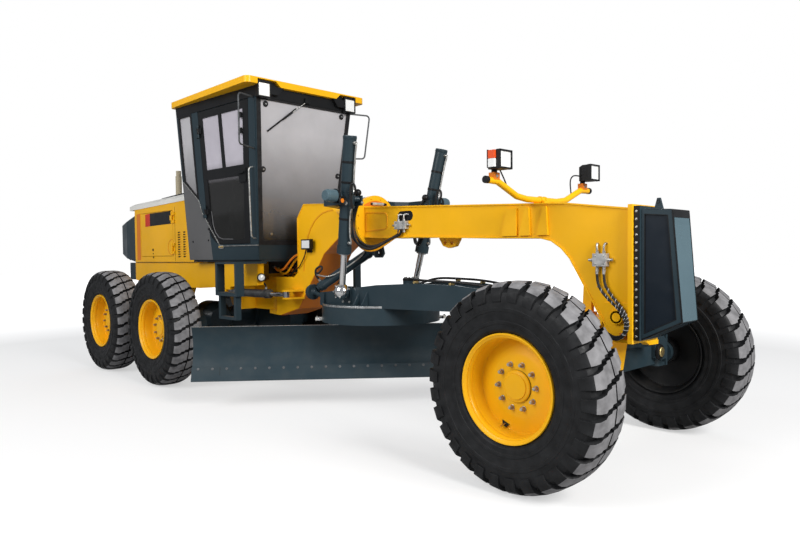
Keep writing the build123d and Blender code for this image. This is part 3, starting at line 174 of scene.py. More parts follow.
def painted(name, color, roughness=0.34, coat=0.08, dust=0.04):
    """Machine enamel: orange peel, soft colour drift, a little road dust low down."""
    s = Shader(name, color, roughness, coat=coat)
    tone = s.ramp(s.noise(1.7, 4), darker(color, 0.93), lighter(color, 1.04, 0.002))
    low_down = s.spread(s.height(), 1.0, 0.0, 0.1, 1.3)
    grime = s.spread(s.noise(9.0, 6), 0.0, dust, 0.42, 0.7)
    s.paint(s.veiled(tone, ROAD_DUST, s.math("MULTIPLY", low_down, grime)))
    s.rough(s.spread(s.noise(5.0, 5), roughness - 0.06, roughness + 0.10))
    s.bsdf.inputs["Specular IOR Level"].default_value = 0.22
    s.bumped(s.noise(260, 2), 0.06, 0.0006)
    s.bumped(s.noise(3.2, 2), 0.10, 0.004)
    return s.material


def rubber(name, color, roughness, grain):
    """Matt rubber, dusty in patches."""
    s = Shader(name, color, roughness)
    s.paint(s.ramp(s.noise(14, 6), darker(color, 0.72), lighter(color, 1.45, 0.006), 0.30, 0.72))
    s.rough(s.spread(s.noise(30, 4), roughness - 0.10, roughness + 0.12))
    s.bumped(s.noise(420, 3), grain, 0.0012)
    s.bumped(s.noise(38, 4), grain * 0.7, 0.003)
    s.bsdf.inputs["Specular IOR Level"].default_value = 0.22
    return s.material


def chrome(name):
    """Polished rod, faintly drawn along its length."""
    s = Shader(name, (0.78, 0.79, 0.80), 0.10, metallic=1.0)
    s.rough(s.spread(s.noise(60, 3, (1, 1, 14)), 0.06, 0.16))
    s.paint(s.ramp(s.noise(6, 3), (0.70, 0.71, 0.73), (0.84, 0.84, 0.84)))
    s.bumped(s.noise(180, 2, (1, 1, 8)), 0.03, 0.0004)
    return s.material


def metal(name, color, roughness, metallic=0.9):
    """Cast, plated or brushed metal, a little stained."""
    s = Shader(name, color, roughness, metallic=metallic)
    s.paint(s.ramp(s.noise(22, 5), darker(color, 0.7), lighter(color, 1.25)))
    s.rough(s.spread(s.noise(70, 4), roughness - 0.08, roughness + 0.12))
    s.bumped(s.noise(300, 3), 0.12, 0.0008)
    return s.material


def plastic(name, color, roughness=0.5):
    """Grained plastic."""
    s = Shader(name, color, roughness)
    s.paint(s.ramp(s.noise(4, 4), darker(color, 0.8), lighter(color, 1.3, 0.002)))
    s.rough(s.spread(s.noise(12, 4), roughness - 0.08, roughness + 0.08))
    s.bumped(s.noise(600, 2), 0.10, 0.0005)
    return s.material


def glazing(name, low, high, span, alphas):
    """Glossy tinted pane with a painted reflection: pale and less clear towards its top, darker and clearer
    towards its foot, with faint dust.
    """
    s = Shader(name, low, 0.05)
    height = s.height(s.node("ShaderNodeNewGeometry").outputs["Position"])
    # painted reflection: the colour rises from low at the foot of span to the pale high at its top, and the
    # alpha rises with it
    s.paint(s.ramp(s.spread(height, 0.0, 1.0, *span), low, high, 0.0, 1.0))
    dust = s.spread(s.noise(3, 5), -0.04, 0.06)
    s.link(s.math("ADD", s.spread(height, *alphas, *span), dust), s.bsdf.inputs["Alpha"])
    s.bsdf.inputs["Specular IOR Level"].default_value = 0.5
    s.rough(s.spread(s.noise(3, 5), 0.03, 0.10))
    return s.material


def fabric(name, color):
    """Woven seat cloth."""
    s = Shader(name, color, 0.85)
    weave = s.node("ShaderNodeTexWave", wave_type="BANDS", bands_direction="DIAGONAL")
    weave.inputs["Scale"].default_value = 160
    weave.inputs["Distortion"].default_value = 1.5
    s.link(s.where, weave.inputs["Vector"])
    s.paint(s.ramp(weave.outputs["Fac"], darker(color, 0.6), lighter(color, 1.5), 0.2, 0.8))
    s.bumped(weave.outputs["Fac"], 0.35, 0.0012)
    s.bsdf.inputs["Sheen Weight"].default_value = 0.3
    return s.material


def lens(name, color, glow=0.0):
    """Ribbed lamp glass."""
    s = Shader(name, color, 0.12)
    ribs = s.node("ShaderNodeTexWave", wave_type="BANDS", bands_direction="Y")
    ribs.inputs["Scale"].default_value = 40
    s.link(s.where, ribs.inputs["Vector"])
    s.bumped(ribs.outputs["Fac"], 0.4, 0.002)
    s.paint(s.ramp(ribs.outputs["Fac"], darker(color, 0.8), color, 0.2, 0.8))
    s.bsdf.inputs["Coat Weight"].default_value = 0.8
    if glow:
        s.bsdf.inputs["Emission Color"].default_value = (*color, 1)
        s.bsdf.inputs["Emission Strength"].default_value = glow
    return s.material


YELLOW = painted("yellow_enamel", (0.92, 0.47, 0.006))
# orange enamel for real orange parts, and painted shade on yellow steel at the neck's flange, the beam's
# lower recess and the headlamp mounts
ORANGE_AND_SHADE = painted("orange_enamel_and_painted_shade", (0.72, 0.20, 0.012))
TEAL = painted("teal_enamel", (0.020, 0.036, 0.046), 0.34)
SLATE = painted("slate_enamel", (0.115, 0.115, 0.117), 0.42)
NOSE_PANEL = painted("nose_panel_enamel", (0.012, 0.017, 0.024), 0.16)
BLACK = painted("black_enamel", (0.006, 0.0065, 0.0075), 0.40)
WHITE = painted("white_enamel", (0.80, 0.79, 0.74), 0.38)
RED = painted("red_enamel", (0.62, 0.035, 0.012))
AMBER = painted("amber_enamel", (0.80, 0.33, 0.008))
TEAL_LIGHT = painted("light_teal_enamel", (0.075, 0.125, 0.150), 0.30)
BEIGE = painted("beige_enamel", (0.46, 0.40, 0.28), 0.5, 0.0)
TYRE = rubber("tyre_rubber", (0.0075, 0.008, 0.009), 0.52, 0.30)
# lighter rubber on the lugs' outward faces: road dust, and painted highlight where light falls on them
TREAD = rubber("tread_rubber", (0.170, 0.168, 0.174), 0.60, 0.45)
HOSE = rubber("hose_rubber", (0.012, 0.012, 0.013), 0.45, 0.12)
SEAL = rubber("seal_rubber", (0.010, 0.010, 0.011), 0.55, 0.10)
CHROME = chrome("chrome_rod")
STEEL = metal("zinc_steel", (0.50, 0.50, 0.48), 0.35)
BRASS = metal("yellow_zinc", (0.62, 0.47, 0.20), 0.35)
COPPER = metal("nut_bronze", (0.42, 0.30, 0.20), 0.42)
IRON = metal("cast_iron", (0.10, 0.105, 0.11), 0.5, 0.6)
METAL_GREY = metal("grey_valve", (0.42, 0.42, 0.41), 0.45, 0.3)
# brushed metal on real parts; on the blade's top edge it is a painted highlight
BRUSHED_AND_HIGHLIGHT = metal("brushed_metal_and_highlight", (0.52, 0.53, 0.53), 0.30, 0.85)
GREY_LIGHT = plastic("light_grey_plastic", (0.34, 0.34, 0.33))
LINING = plastic("cab_lining", (0.22, 0.215, 0.20), 0.6)
GREY = plastic("grey_plastic", (0.12, 0.12, 0.125))
# both panes carry a painted reflection: the pale colour and lower clearness high up stand for the sky
# mirrored in the glass
SMOKE = glazing("smoked_glass", (0.030, 0.029, 0.026), (0.56, 0.55, 0.57), (1.62, 2.80), (0.60, 0.82))
DOOR_GLASS = glazing("door_glass", (0.018, 0.018, 0.017), (0.56, 0.53, 0.59), (2.30, 2.52), (0.82, 0.84))
CLOTH = fabric("seat_fabric", (0.030, 0.031, 0.035))
LAMP_WHITE = lens("lamp_clear", (0.85, 0.86, 0.85), 0.15)
LAMP_ORANGE = lens("lamp_orange", (0.85, 0.10, 0.02), 0.05)


# ---- mesh building -------------------------------------------------------------------
class Piece:
    """Collects solids, given in the frame's metres, into one mesh object."""

    def __init__(self, name, body, material, slot_name, bevel=0.0, angle=35):
        self.name, self.body, self.slot_name = name, body, slot_name
        self.bevel, self.angle = bevel, angle
        self.materials = [material]
        self.bm = bmesh.new()
        self.index = 0

    def use(self, material):
        """What is added next has this material."""
        if material not in self.materials:
            self.materials.append(material)
        self.index = self.materials.index(material)
        return self

    def faces(self, points, faces):
        """Faces over their own points, given by place."""
        made = [self.bm.verts.new(p) for p in points]
        for corners in faces:
            self.bm.faces.new([made[i] for i in corners]).material_index = self.index

    def box(self, x, y, z):
        """Block between two values on each axis."""
        (x0, x1), (y0, y1), (z0, z1) = sorted(x), sorted(y), sorted(z)
        points = [(a, b, c) for a in (x0, x1) for b in (y0, y1) for c in (z0, z1)]
        self.faces(points, [(0, 1, 3, 2), (4, 6, 7, 5), (0, 4, 5, 1), (2, 3, 7, 6), (0, 2, 6, 4),
                            (1, 5, 7, 3)])
        return self

    def prism(self, points, along):
        """Closed outline of 3-D points pushed along a vector."""
        low = [Vector(p) for p in points]
        self.tunnel(low, [p + Vector(along) for p in low])
        return self

    def tunnel(self, low, high):
        """Solid between two outlines with as many corners."""
        n = len(low)
        sides = [(i, (i + 1) % n, n + (i + 1) % n, n + i) for i in range(n)]
        self.faces([*low, *high], [tuple(reversed(range(n))), tuple(range(n, 2 * n)), *sides])

    def rod(self, start, end, radius, n=20, end_radius=None):
        """Round bar, or a cone where the far end has its own radius."""
        start, end = Vector(start), Vector(end)
        turn = (end - start).to_track_quat("Z", "Y").to_matrix()
        far = radius if end_radius is None else end_radius
        ring = [turn @ Vector((cos(2 * pi * i / n), sin(2 * pi * i / n), 0)) for i in range(n)]
        self.tunnel([start + p * radius for p in ring], [end + p * far for p in ring])
        return self

    def lathe(self, section, centre, axis, n=48, closed=None):
        """Section of (radius, height) turned about an axis; closed unless it starts on the axis."""
        turn = Vector(axis).to_track_quat("Z", "Y").to_matrix()
        spokes = [(cos(2 * pi * i / n), sin(2 * pi * i / n)) for i in range(n)]
        rings = [[self.bm.verts.new(Vector(centre) + turn @ Vector((r * c, r * s, h))) for c, s in spokes]
                 for r, h in section]
        if closed is None:
            closed = section[0][0] > 0
        if closed:
            rings.append(rings[0])
        for a, b in zip(rings, rings[1:]):
            for i in range(n):
                j = (i + 1) % n
                self.bm.faces.new((a[i], a[j], b[j], b[i])).material_index = self.index
        return self

    def collar(self, inner, outer, low, high, centre, axis, n=48):
        """Ring between two radii and two heights."""
        return self.lathe([(inner, low), (outer, low), (outer, high), (inner, high)], centre, axis, n)

    def bolt(self, at, axis, radius, height, washer=1.35):
        """Hexagon head on a washer."""
        at, axis = Vector(at), Vector(axis).normalized()
        self.rod(at, at + axis * height * 0.25, radius * washer, 16)
        self.rod(at + axis * height * 0.25, at + axis * height, radius, 6)
        return self

    def ball(self, centre, radius, n=20, rows=12):
        """Sphere, open by a little at its two poles."""
        section = [(radius * sin(pi * i / rows), -radius * cos(pi * i / rows)) for i in range(1, rows)]
        return self.lathe(section, centre, Z, n, closed=False)

    def plate(self, at, outline, low, high):
        """Closed outline in a surface's own coordinates, from low to high out of it."""
        return self.prism([at(*p, low) for p in outline], at(0, 0, high) - at(0, 0, low))

    def border(self, at, outer, inner, low, high):
        """Frame between two outlines with as many corners."""
        n = len(outer)
        rings = [[at(*p, d) for p in line] for line, d in ((outer, low), (outer, high), (inner, high),
                                                           (inner, low))]
        self.faces([p for ring in rings for p in ring],
                   [(a * n + i, a * n + (i + 1) % n, (a + 1) % 4 * n + (i + 1) % n, (a + 1) % 4 * n + i)
                    for a in range(4) for i in range(n)])
        return self

    def strip(self, at, line, width, low, high):
        """Flat band that follows an open line."""
        return self.plate(at, beside(line, width / 2) + beside(line, -width / 2)[::-1], low, high)

    def mesh(self):
        """All that was collected, its normals turned outwards."""
        bmesh.ops.recalc_face_normals(self.bm, faces=self.bm.faces)
        mesh = bpy.data.meshes.new(self.name)
        self.bm.to_mesh(mesh)
        self.bm.free()
        for material in self.materials:
            mesh.materials.append(material)
        return mesh

    def done(self, *replaced):
        """Ends the piece; it stands for the nodes it replaces."""
        placed(self.mesh(), self.name, self.body, self.slot_name, self.bevel, self.angle, replaced)


def placed(mesh, name, body, slot_name, bevel, angle, replaced=(), matrix=None):
    """Puts a mesh in the scene on its body, smooth with sharp edges and a bevel where it has one."""
    if matrix:
        mesh = mesh.copy()
        mesh.transform(matrix)
    mesh.polygons.foreach_set("use_smooth", [True] * len(mesh.polygons))
    mesh.set_sharp_from_angle(angle=radians(angle))
    made = bpy.data.objects.new(name, mesh)
    bpy.context.collection.objects.link(made)
    if bevel:
        modifier = made.modifiers.new("bevel", "BEVEL")
        modifier.width, modifier.segments, modifier.limit_method = bevel, 2, "ANGLE"
        modifier.angle_limit = radians(angle)
        modifier.harden_normals = True
    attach(made, body)
    if replaced:
        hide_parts(*replaced)
    return made


def tube(name, points, radius, material, body, slot_name, order=3):
    """Smooth round hose, cable or bent tube through its control points."""
    data = bpy.data.curves.new(name, "CURVE")
    data.dimensions = "3D"
    data.bevel_depth = radius
    data.bevel_resolution = 3
    data.use_fill_caps = True
    data.materials.append(material)
    spline = data.splines.new("NURBS")
    spline.points.add(len(points) - 1)
    for point, place in zip(spline.points, points):
        point.co = (*place, 1)
    spline.order_u = order
    spline.use_endpoint_u = True
    spline.resolution_u = 8
    made = bpy.data.objects.new(name, data)
    bpy.context.collection.objects.link(made)
    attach(made, body)
    return made


def dress(names, material):
    """Gives CAD nodes that are shown as they are their material."""
    for name in names:
        slots = NODES[name].data.materials
        if not slots:
            slots.append(material)
        for place in range(len(slots)):
            slots[place] = material


# ---- outlines and places ---------------------------------------------------------------
def at_x(x, points):
    """Points of (y, z) at one x."""
    return [(x, y, z) for y, z in points]


def at_y(y, points):
    """Points of (x, z) at one y."""
    return [(x, y, z) for x, z in points]


def at_z(z, points):
    """Points of (x, y) at one height."""
    return [(x, y, z) for x, y in points]


def oblong(a0, a1, b0, b1):
    """Corners of a rectangle, round its edge."""
    return [(a0, b0), (a1, b0), (a1, b1), (a0, b1)]


def circle(n, radius, start=0.0):
    """n points round a circle, the first one start steps on."""
    angles = [2 * pi * (i + start) / n for i in range(n)]
    return [(radius * cos(a), radius * sin(a)) for a in angles]


def beside(line, by, closed=False):
    """A 2-D line moved to its left by a distance, with mitred corners, open or closed."""
    points = [Vector(p) for p in line]
    n, moved = len(points), []
    for i, p in enumerate(points):
        ways = []
        if closed or i > 0:
            ways.append((p - points[i - 1]).normalized())
        if closed or i < n - 1:
            ways.append((points[(i + 1) % n] - p).normalized())
        sides = [Vector((-w.y, w.x)) for w in ways]
        moved.append(tuple(p + (sides[0] + sides[-1]) * by / (1 + sides[0].dot(sides[-1]))))
    return moved


def oval(x, z, half, radius, n=12):
    """Outline of a slot with round ends."""
    ends = [(x + half - radius, -pi / 2), (x - half + radius, pi / 2)]
    return [(cx + radius * cos(start + pi * i / n), z + radius * sin(start + pi * i / n))
            for cx, start in ends for i in range(n + 1)]


def flank(half, sign):
    """Side plane of the machine: x, z and distance out of it."""
    def at(x, z, out=0.0):
        return Vector((x, sign * (half + out), z))
    return at


def on_line(start, way, ahead):
    """Places on a cylinder: along its line, out ahead of it and aside."""
    def at(t, out=0.0, aside=0.0):
        return start + way * t + ahead * out + way.cross(ahead) * aside
    return at


# ---- tyres and rims --------------------------------------------------------------------
LUGS = 30
TREAD_R = 0.65      # lug edges along the tread are lengths round this radius
LUG_FLARE = 0.006   # how far a lug's foot spreads to each side
RADIAL = 0.80       # faces that point outwards more than this take the lighter tread rubber: dust and painted highlight
# stations of one lug from the middle of the tread to its foot on the sidewall:
# distance from the middle, top radius, base radius, leading and trailing edge along the tread
LUG = (
    (0.006, 0.6500, 0.616, 0.046, 0.148),
    (0.044, 0.6496, 0.616, 0.040, 0.144),
    (0.050, 0.6494, 0.616, 0.026, 0.130),
    (0.086, 0.6460, 0.612, 0.018, 0.120),
    (0.096, 0.6440, 0.608, 0.000, 0.102),
    (0.132, 0.6330, 0.596, -0.004, 0.088),
    (0.158, 0.6160, 0.584, -0.004, 0.082),
)
# then down the sidewall: outer face, radius, inner face
SIDE_LUG = ((0.1730, 0.5860, 0.160), (0.1790, 0.5600, 0.166), (0.1785, 0.5300, 0.169))


def tyre_mesh():
    """One tyre about the Y axis, its outside towards +Y."""
    p = Piece("tyre", None, TYRE, "tyre_rubber")
    half = [(0.319, 0.1245), (0.333, 0.1250), (0.345, 0.1420), (0.362, 0.1560), (0.392, 0.1590),
            (0.394, 0.1630), (0.412, 0.1655), (0.414, 0.1625), (0.470, 0.1710), (0.472, 0.1745),
            (0.492, 0.1755), (0.494, 0.1725), (0.555, 0.1690), (0.582, 0.1600), (0.600, 0.1380),
            (0.612, 0.0900), (0.616, 0.0300)]
    p.lathe(half + [(r, -y) for r, y in reversed(half)], ORIGIN, Y, 120)
    p.use(TREAD)
    for side in (-1, 1):
        shift = 0.5 if side > 0 else 0.0
        for i in range(LUGS):
            turn = 2 * pi * (i + shift) / LUGS
            rings = [[(y, low, lead - LUG_FLARE), (y, top, lead), (y, top, trail),
                      (y, low, trail + LUG_FLARE)] for y, top, low, lead, trail in LUG]
            lead, trail = LUG[-1][3:]
            rings += [[(inner, r, lead), (y, r, lead + 0.003), (y, r, trail - 0.003), (inner, r, trail)]
                      for y, r, inner in SIDE_LUG]
            points = []
            for y, r, edge in sum(rings, []):
                angle = turn + edge / TREAD_R * side
                points.append((r * sin(angle), side * y, r * cos(angle)))
            faces = [(0, 1, 2, 3), tuple(reversed(range(len(points) - 4, len(points))))]
            for k in range(len(rings) - 1):
                a, b = 4 * k, 4 * k + 4
                faces += [(a + m, a + (m + 1) % 4, b + (m + 1) % 4, b + m) for m in range(4)]
            p.faces(points, faces)
    bmesh.ops.recalc_face_normals(p.bm, faces=p.bm.faces)
    # outward lug faces keep the lighter tread rubber, dust and painted highlight; the other lug faces get
    # the tyre's own rubber
    dusty, clean = p.materials.index(TREAD), p.materials.index(TYRE)
    for face in p.bm.faces:
        middle = face.calc_center_median()
        outward = Vector((middle.x, 0, middle.z)).normalized()
        if face.material_index == dusty and face.normal.dot(outward) < RADIAL:
            face.material_index = clean
    return p.mesh()


STUDS, STUD_CIRCLE, DISC_FACE = 10, 0.140, 0.021
VALVE_CIRCLE = 0.262
VALVES = ((2.62, 0.030), (-0.52, 0.012))    # place round the rim and half width of each notch


def rim_mesh():
    """One deep rim with hub, studs and valve notches, its back black as painted shade; its outside towards
    +Y.
    """
    p = Piece("rim", None, YELLOW, "yellow_paint")
    barrel = [(0.3175, 0.1262), (0.3175, -0.1262), (0.337, -0.1285), (0.338, -0.151), (0.330, -0.1525),
              (0.322, -0.148), (0.306, -0.120), (0.300, -0.090), (0.300, -0.022), (0.200, 0.000),
              (0.100, 0.006), (0.100, 0.022), (0.186, 0.022), (0.205, 0.016), (0.292, -0.002),
              (0.2975, 0.012), (0.2985, 0.075), (0.303, 0.088), (0.300, 0.096), (0.304, 0.118),
              (0.3105, 0.126), (0.311, 0.138), (0.322, 0.1455), (0.328, 0.152), (0.336, 0.1525),
              (0.3385, 0.146), (0.337, 0.1285)]
    p.lathe(barrel, ORIGIN, Y, 96)
    p.lathe([(0.0605, -0.095), (0.100, -0.095), (0.1015, 0.030), (0.096, 0.038), (0.080, 0.0425),
             (0.078, 0.0495), (0.060, 0.050), (0.001, 0.050), (0.001, 0.012), (0.0605, 0.012)], ORIGIN, Y,
            64)
    for i in range(STUDS):
        a = 2 * pi * (i + 0.35) / STUDS
        at = Vector((STUD_CIRCLE * sin(a), DISC_FACE, STUD_CIRCLE * cos(a)))
        p.use(STEEL).rod(at, at + Y * 0.006, 0.017, 18)
        p.use(COPPER).rod(at + Y * 0.006, at + Y * 0.026, 0.0145, 6)
        p.use(STEEL).rod(at + Y * 0.024, at + Y * 0.036, 0.009, 12)
    for turn, wide in VALVES:
        out, along = Vector((sin(turn), 0, cos(turn))), Vector((cos(turn), 0, -sin(turn)))
        base = out * VALVE_CIRCLE + Y * 0.0035
        tip = base + out * 0.030
        p.use(BLACK).prism([base - along * wide, base + along * wide, tip + along * wide * 0.4,
                            tip - along * wide * 0.5], Y * 0.006)
        p.use(BRASS).rod(base + out * 0.01, base + out * 0.02 + Y * 0.05, 0.004, 10)
    bmesh.ops.recalc_face_normals(p.bm, faces=p.bm.faces)
    # painted shade: the back of the barrel and of the disc is black, standing for the shade inside the
    # wheel
    shaded_inner_side = p.use(BLACK).index
    for face in p.bm.faces:
        y = face.calc_center_median().y
        if y < -0.004 or (y < 0.010 and face.normal.y < -0.5):
            face.material_index = shaded_inner_side
    return p.mesh()


def wheels():
    """Six dressed wheels, each turned a little so that no two stand alike."""
    tyre, rim = tyre_mesh(), rim_mesh()
    for number, (axle, x) in enumerate(AXLES):
        for side, sign in SIDES:
            turn = Matrix.Identity(3) if sign > 0 else Matrix.Rotation(pi, 3, "Z")
            spin = Matrix.Rotation(0.35 * number + (0.5 if sign > 0 else 0.13), 3, "Y")
            place = Matrix.Translation((x, sign * WHEEL_Y, WHEEL_Z)) @ (turn @ spin).to_4x4()
            wheel = f"{axle}_{side}"
            placed(tyre, f"tyre_dress_{wheel}", f"wheel_{wheel}", "tyre_rubber", 0.0028, 32,
                   (f"tyre_{wheel}",), place)
            placed(rim, f"rim_dress_{wheel}", f"wheel_{wheel}", "yellow_paint", 0.0012, 32,
                   (f"rim_{wheel}",), place)


# ---- cab -----------------------------------------------------------------------------
# the side walls taper forwards and lean in; outlines are x (or y) and height above the floor
WALL_X = Vector((1, -0.066, 0)).normalized()
WALL_OUT = Vector((0.066, 1, -0.08038)).normalized()
WALL_UP = WALL_OUT.cross(-WALL_X)
CAB_FLOOR = 1.430
WALL_FOOT = Vector((0, 0.49209, CAB_FLOOR))
SCREEN_X, REAR_X = -0.235, -1.635
LEAN = 0.11315
GLASS_TOP = 1.700
# raised strip along the edge of the slate panel; its light steel colour is a painted highlight on that edge
TRIM_HIGHLIGHT = [(-1.612, 0.937), (-1.318, 0.701), (-1.266, 0.567), (-1.157, 0.415), (-0.952, 0.157),
        (-0.222, 0.157)]
SCREEN = [(-0.490, 0.190), (0.490, 0.190), (0.600, GLASS_TOP), (-0.600, GLASS_TOP)]
REAR_SCREEN = [(-0.560, 0.950), (0.560, 0.950), (0.630, 1.680), (-0.630, 1.680)]
QUARTER = [(-1.600, 0.935), (-1.325, 0.700), (-1.325, GLASS_TOP), (-1.600, GLASS_TOP)]


def side_wall(sign):
    """One side of the cab: x, height along the wall and distance out of it."""
    def at(x, v, out=0.0):
        p = WALL_FOOT + WALL_X * x + WALL_UP * v + WALL_OUT * out
        return Vector((p.x, sign * p.y, p.z))
    return at


def screen(y, v, out=0.0):
    """Leaning front of the cab: y, height along it and distance out of it."""
    return Vector((SCREEN_X + sin(LEAN) * v + cos(LEAN) * out, y,
                   CAB_FLOOR + cos(LEAN) * v - sin(LEAN) * out))


def rear_screen(y, v, out=0.0):
    """Upright rear of the cab, the same way."""
    return Vector((REAR_X - out, y, CAB_FLOOR + v))


def cab_sides():
    """Skins, a raised edge strip and a door line in painted highlight, grab rails and door fittings of both
    sides.
    """
    for side, sign in SIDES:
        at = side_wall(sign)
        p = Piece(f"cab_skin_{side}", "rear_frame", SLATE, "teal_paint", 0.001)
        p.plate(at, [(-1.634, 0.002), (-1.130, 0.002), (-1.157, 0.412), (-1.266, 0.565), (-1.318, 0.699),
                     (-1.612, 0.935), (-1.634, 0.935)], 0.0, 0.004)
        # painted highlight: light steel strip along the panel's edge
        p.use(STEEL).strip(at, TRIM_HIGHLIGHT, 0.009, 0.0, 0.009)
        p.use(BLACK).plate(at, [(-1.630, 1.702), (-0.060, 1.702), (-0.050, 1.800), (-1.630, 1.800)], 0.0,
                           0.005)
        p.border(at, beside(QUARTER, -0.012, True), beside(QUARTER, 0.022, True), -0.009, 0.003)
        p.use(TEAL).strip(at, [(-0.245, 0.03), (-0.09, 1.66)], 0.012, 0.0, 0.006)
        p.done()
        p = Piece(f"cab_fittings_{side}", "rear_frame", STEEL, "chrome_rod", 0.001)
        p.plate(at, [(-0.985, 0.135), (-0.965, 0.128), (-0.905, 0.128), (-0.885, 0.135), (-0.885, 0.162),
                     (-0.905, 0.169), (-0.965, 0.169), (-0.985, 0.162)], 0.0, 0.008)
        out = at(0, 0, 1) - at(0, 0, 0)
        for x in (-0.960, -0.910):
            p.use(BRASS).bolt(at(x, 0.148, 0.008), out, 0.010, 0.012)
        for x, v in ((-1.18, 0.23), (-1.52, 0.22), (-1.16, 0.36)):
            p.use(BLACK).bolt(at(x, v, 0.004), out, 0.008, 0.010)
        p.done()
        rail = ((-0.262, 0.230, 0.0), (-0.266, 0.235, 0.050), (-0.262, 0.300, 0.055),
                (-0.216, 0.920, 0.055), (-0.212, 0.985, 0.050), (-0.212, 0.987, 0.0))
        tube(f"grab_rail_{side}", [at(*spot) for spot in rail], 0.0095, STEEL, "rear_frame", "chrome_rod")
        door = Piece(f"door_trim_{side}", f"door_{side}", BLACK, "black_paint", 0.0015)
        for x, v in ((-0.345, 1.547), (-0.362, 1.385)):
            door.plate(at, oblong(x - 0.018, x + 0.018, v - 0.030, v + 0.030), -0.002, 0.016)
        door.plate(at, [(-0.455, 0.835), (-0.345, 0.845), (-0.330, 0.990), (-0.470, 0.990)], -0.002, 0.012)
        door.rod(at(-0.44, 0.945, 0.010), at(-0.44, 0.945, 0.030), 0.012, 16)
        door.plate(at, [(-0.452, 0.930), (-0.350, 0.938), (-0.350, 0.956), (-0.452, 0.960)], 0.026, 0.036)
        # painted highlight: a light grey line along each door pane's lower rear corner, where light catches
        # the inner frame
        door.use(GREY).strip(at, [(-1.080, 0.560), (-1.070, 0.400), (-1.035, 0.315), (-0.975, 0.258),
                                  (-0.900, 0.238), (-0.700, 0.232)], 0.010, -0.009, -0.002)
        door.done()


def cab_front():
    """Seals, wiper and roof lamps of the front, and the rear pane's seal."""
    p = Piece("windscreen_seal", "rear_frame", SEAL, "black_plastic", 0.001)
    p.border(screen, beside(SCREEN, -0.030, True), beside(SCREEN, 0.020, True), -0.009, 0.004)
    p.use(BLACK).plate(screen, [(-0.600, 1.702), (0.600, 1.702), (0.608, 1.806), (-0.608, 1.806)], 0.0,
                       0.012)
    p.border(rear_screen, beside(REAR_SCREEN, -0.030, True), beside(REAR_SCREEN, 0.020, True), -0.009,
             0.004)
    out = screen(0, 0, 1) - screen(0, 0, 0)
    for y, v in ((-0.511, 1.640), (0.505, 1.640), (-0.505, 0.963), (0.500, 0.963)):
        p.use(SEAL).lathe([(0.0, 0.001), (0.030, 0.001), (0.032, 0.004), (0.028, 0.012), (0.014, 0.014),
                           (0.0, 0.014)], screen(y, v, -0.010), out, 28)
        p.use(STEEL).rod(screen(y, v, 0.003), screen(y, v, 0.009), 0.009, 16)
    for y in (-0.364, 0.364):
        p.use(STEEL).rod(screen(y, 0.279, -0.009), screen(y, 0.279, 0.002), 0.014, 20)
    p.done()
    p = Piece("screen_wiper", "rear_frame", BLACK, "black_plastic", 0.0008)
    p.plate(screen, [(-0.045, 1.715), (0.030, 1.715), (0.024, 1.765), (-0.040, 1.765)], 0.012, 0.045)
    p.use(STEEL).rod(screen(-0.013, 1.737, 0.040), screen(-0.250, 1.545, 0.022), 0.0045, 10)
    p.use(BLACK).rod(screen(-0.190, 1.595, 0.027), screen(-0.300, 1.508, 0.018), 0.010, 8)
    p.strip(screen, [(-0.130, 1.642), (-0.478, 1.363)], 0.014, -0.008, 0.010)
    p.done()
    p = Piece("roof_lamps", "rear_frame", BLACK, "black_plastic", 0.0015)
    for sign in (-1, 1):
        for y, z in (((0.492, 0.506), (3.107, 3.276)), ((0.639, 0.653), (3.107, 3.276)),
                     ((0.506, 0.639), (3.107, 3.120)), ((0.506, 0.639), (3.253, 3.276))):
            p.use(BLACK).box((-0.030, 0.0265), [sign * v for v in y], z)
        notch = [(0.3705, 3.2345), (0.492, 3.2345), (0.492, 3.2875), (0.4305, 3.2875)]
        p.prism([(-0.0218, sign * y, z) for y, z in notch], X * 0.003)
        gusset = [(0.330, 3.2335), (0.492, 3.2335), (0.492, 3.150), (0.400, 3.150)]
        p.prism([(-0.030, sign * y, z) for y, z in gusset], X * 0.050)
        p.use(LAMP_WHITE).box((0.016, 0.0215), (sign * 0.508, sign * 0.637), (3.122, 3.251))
    p.done()


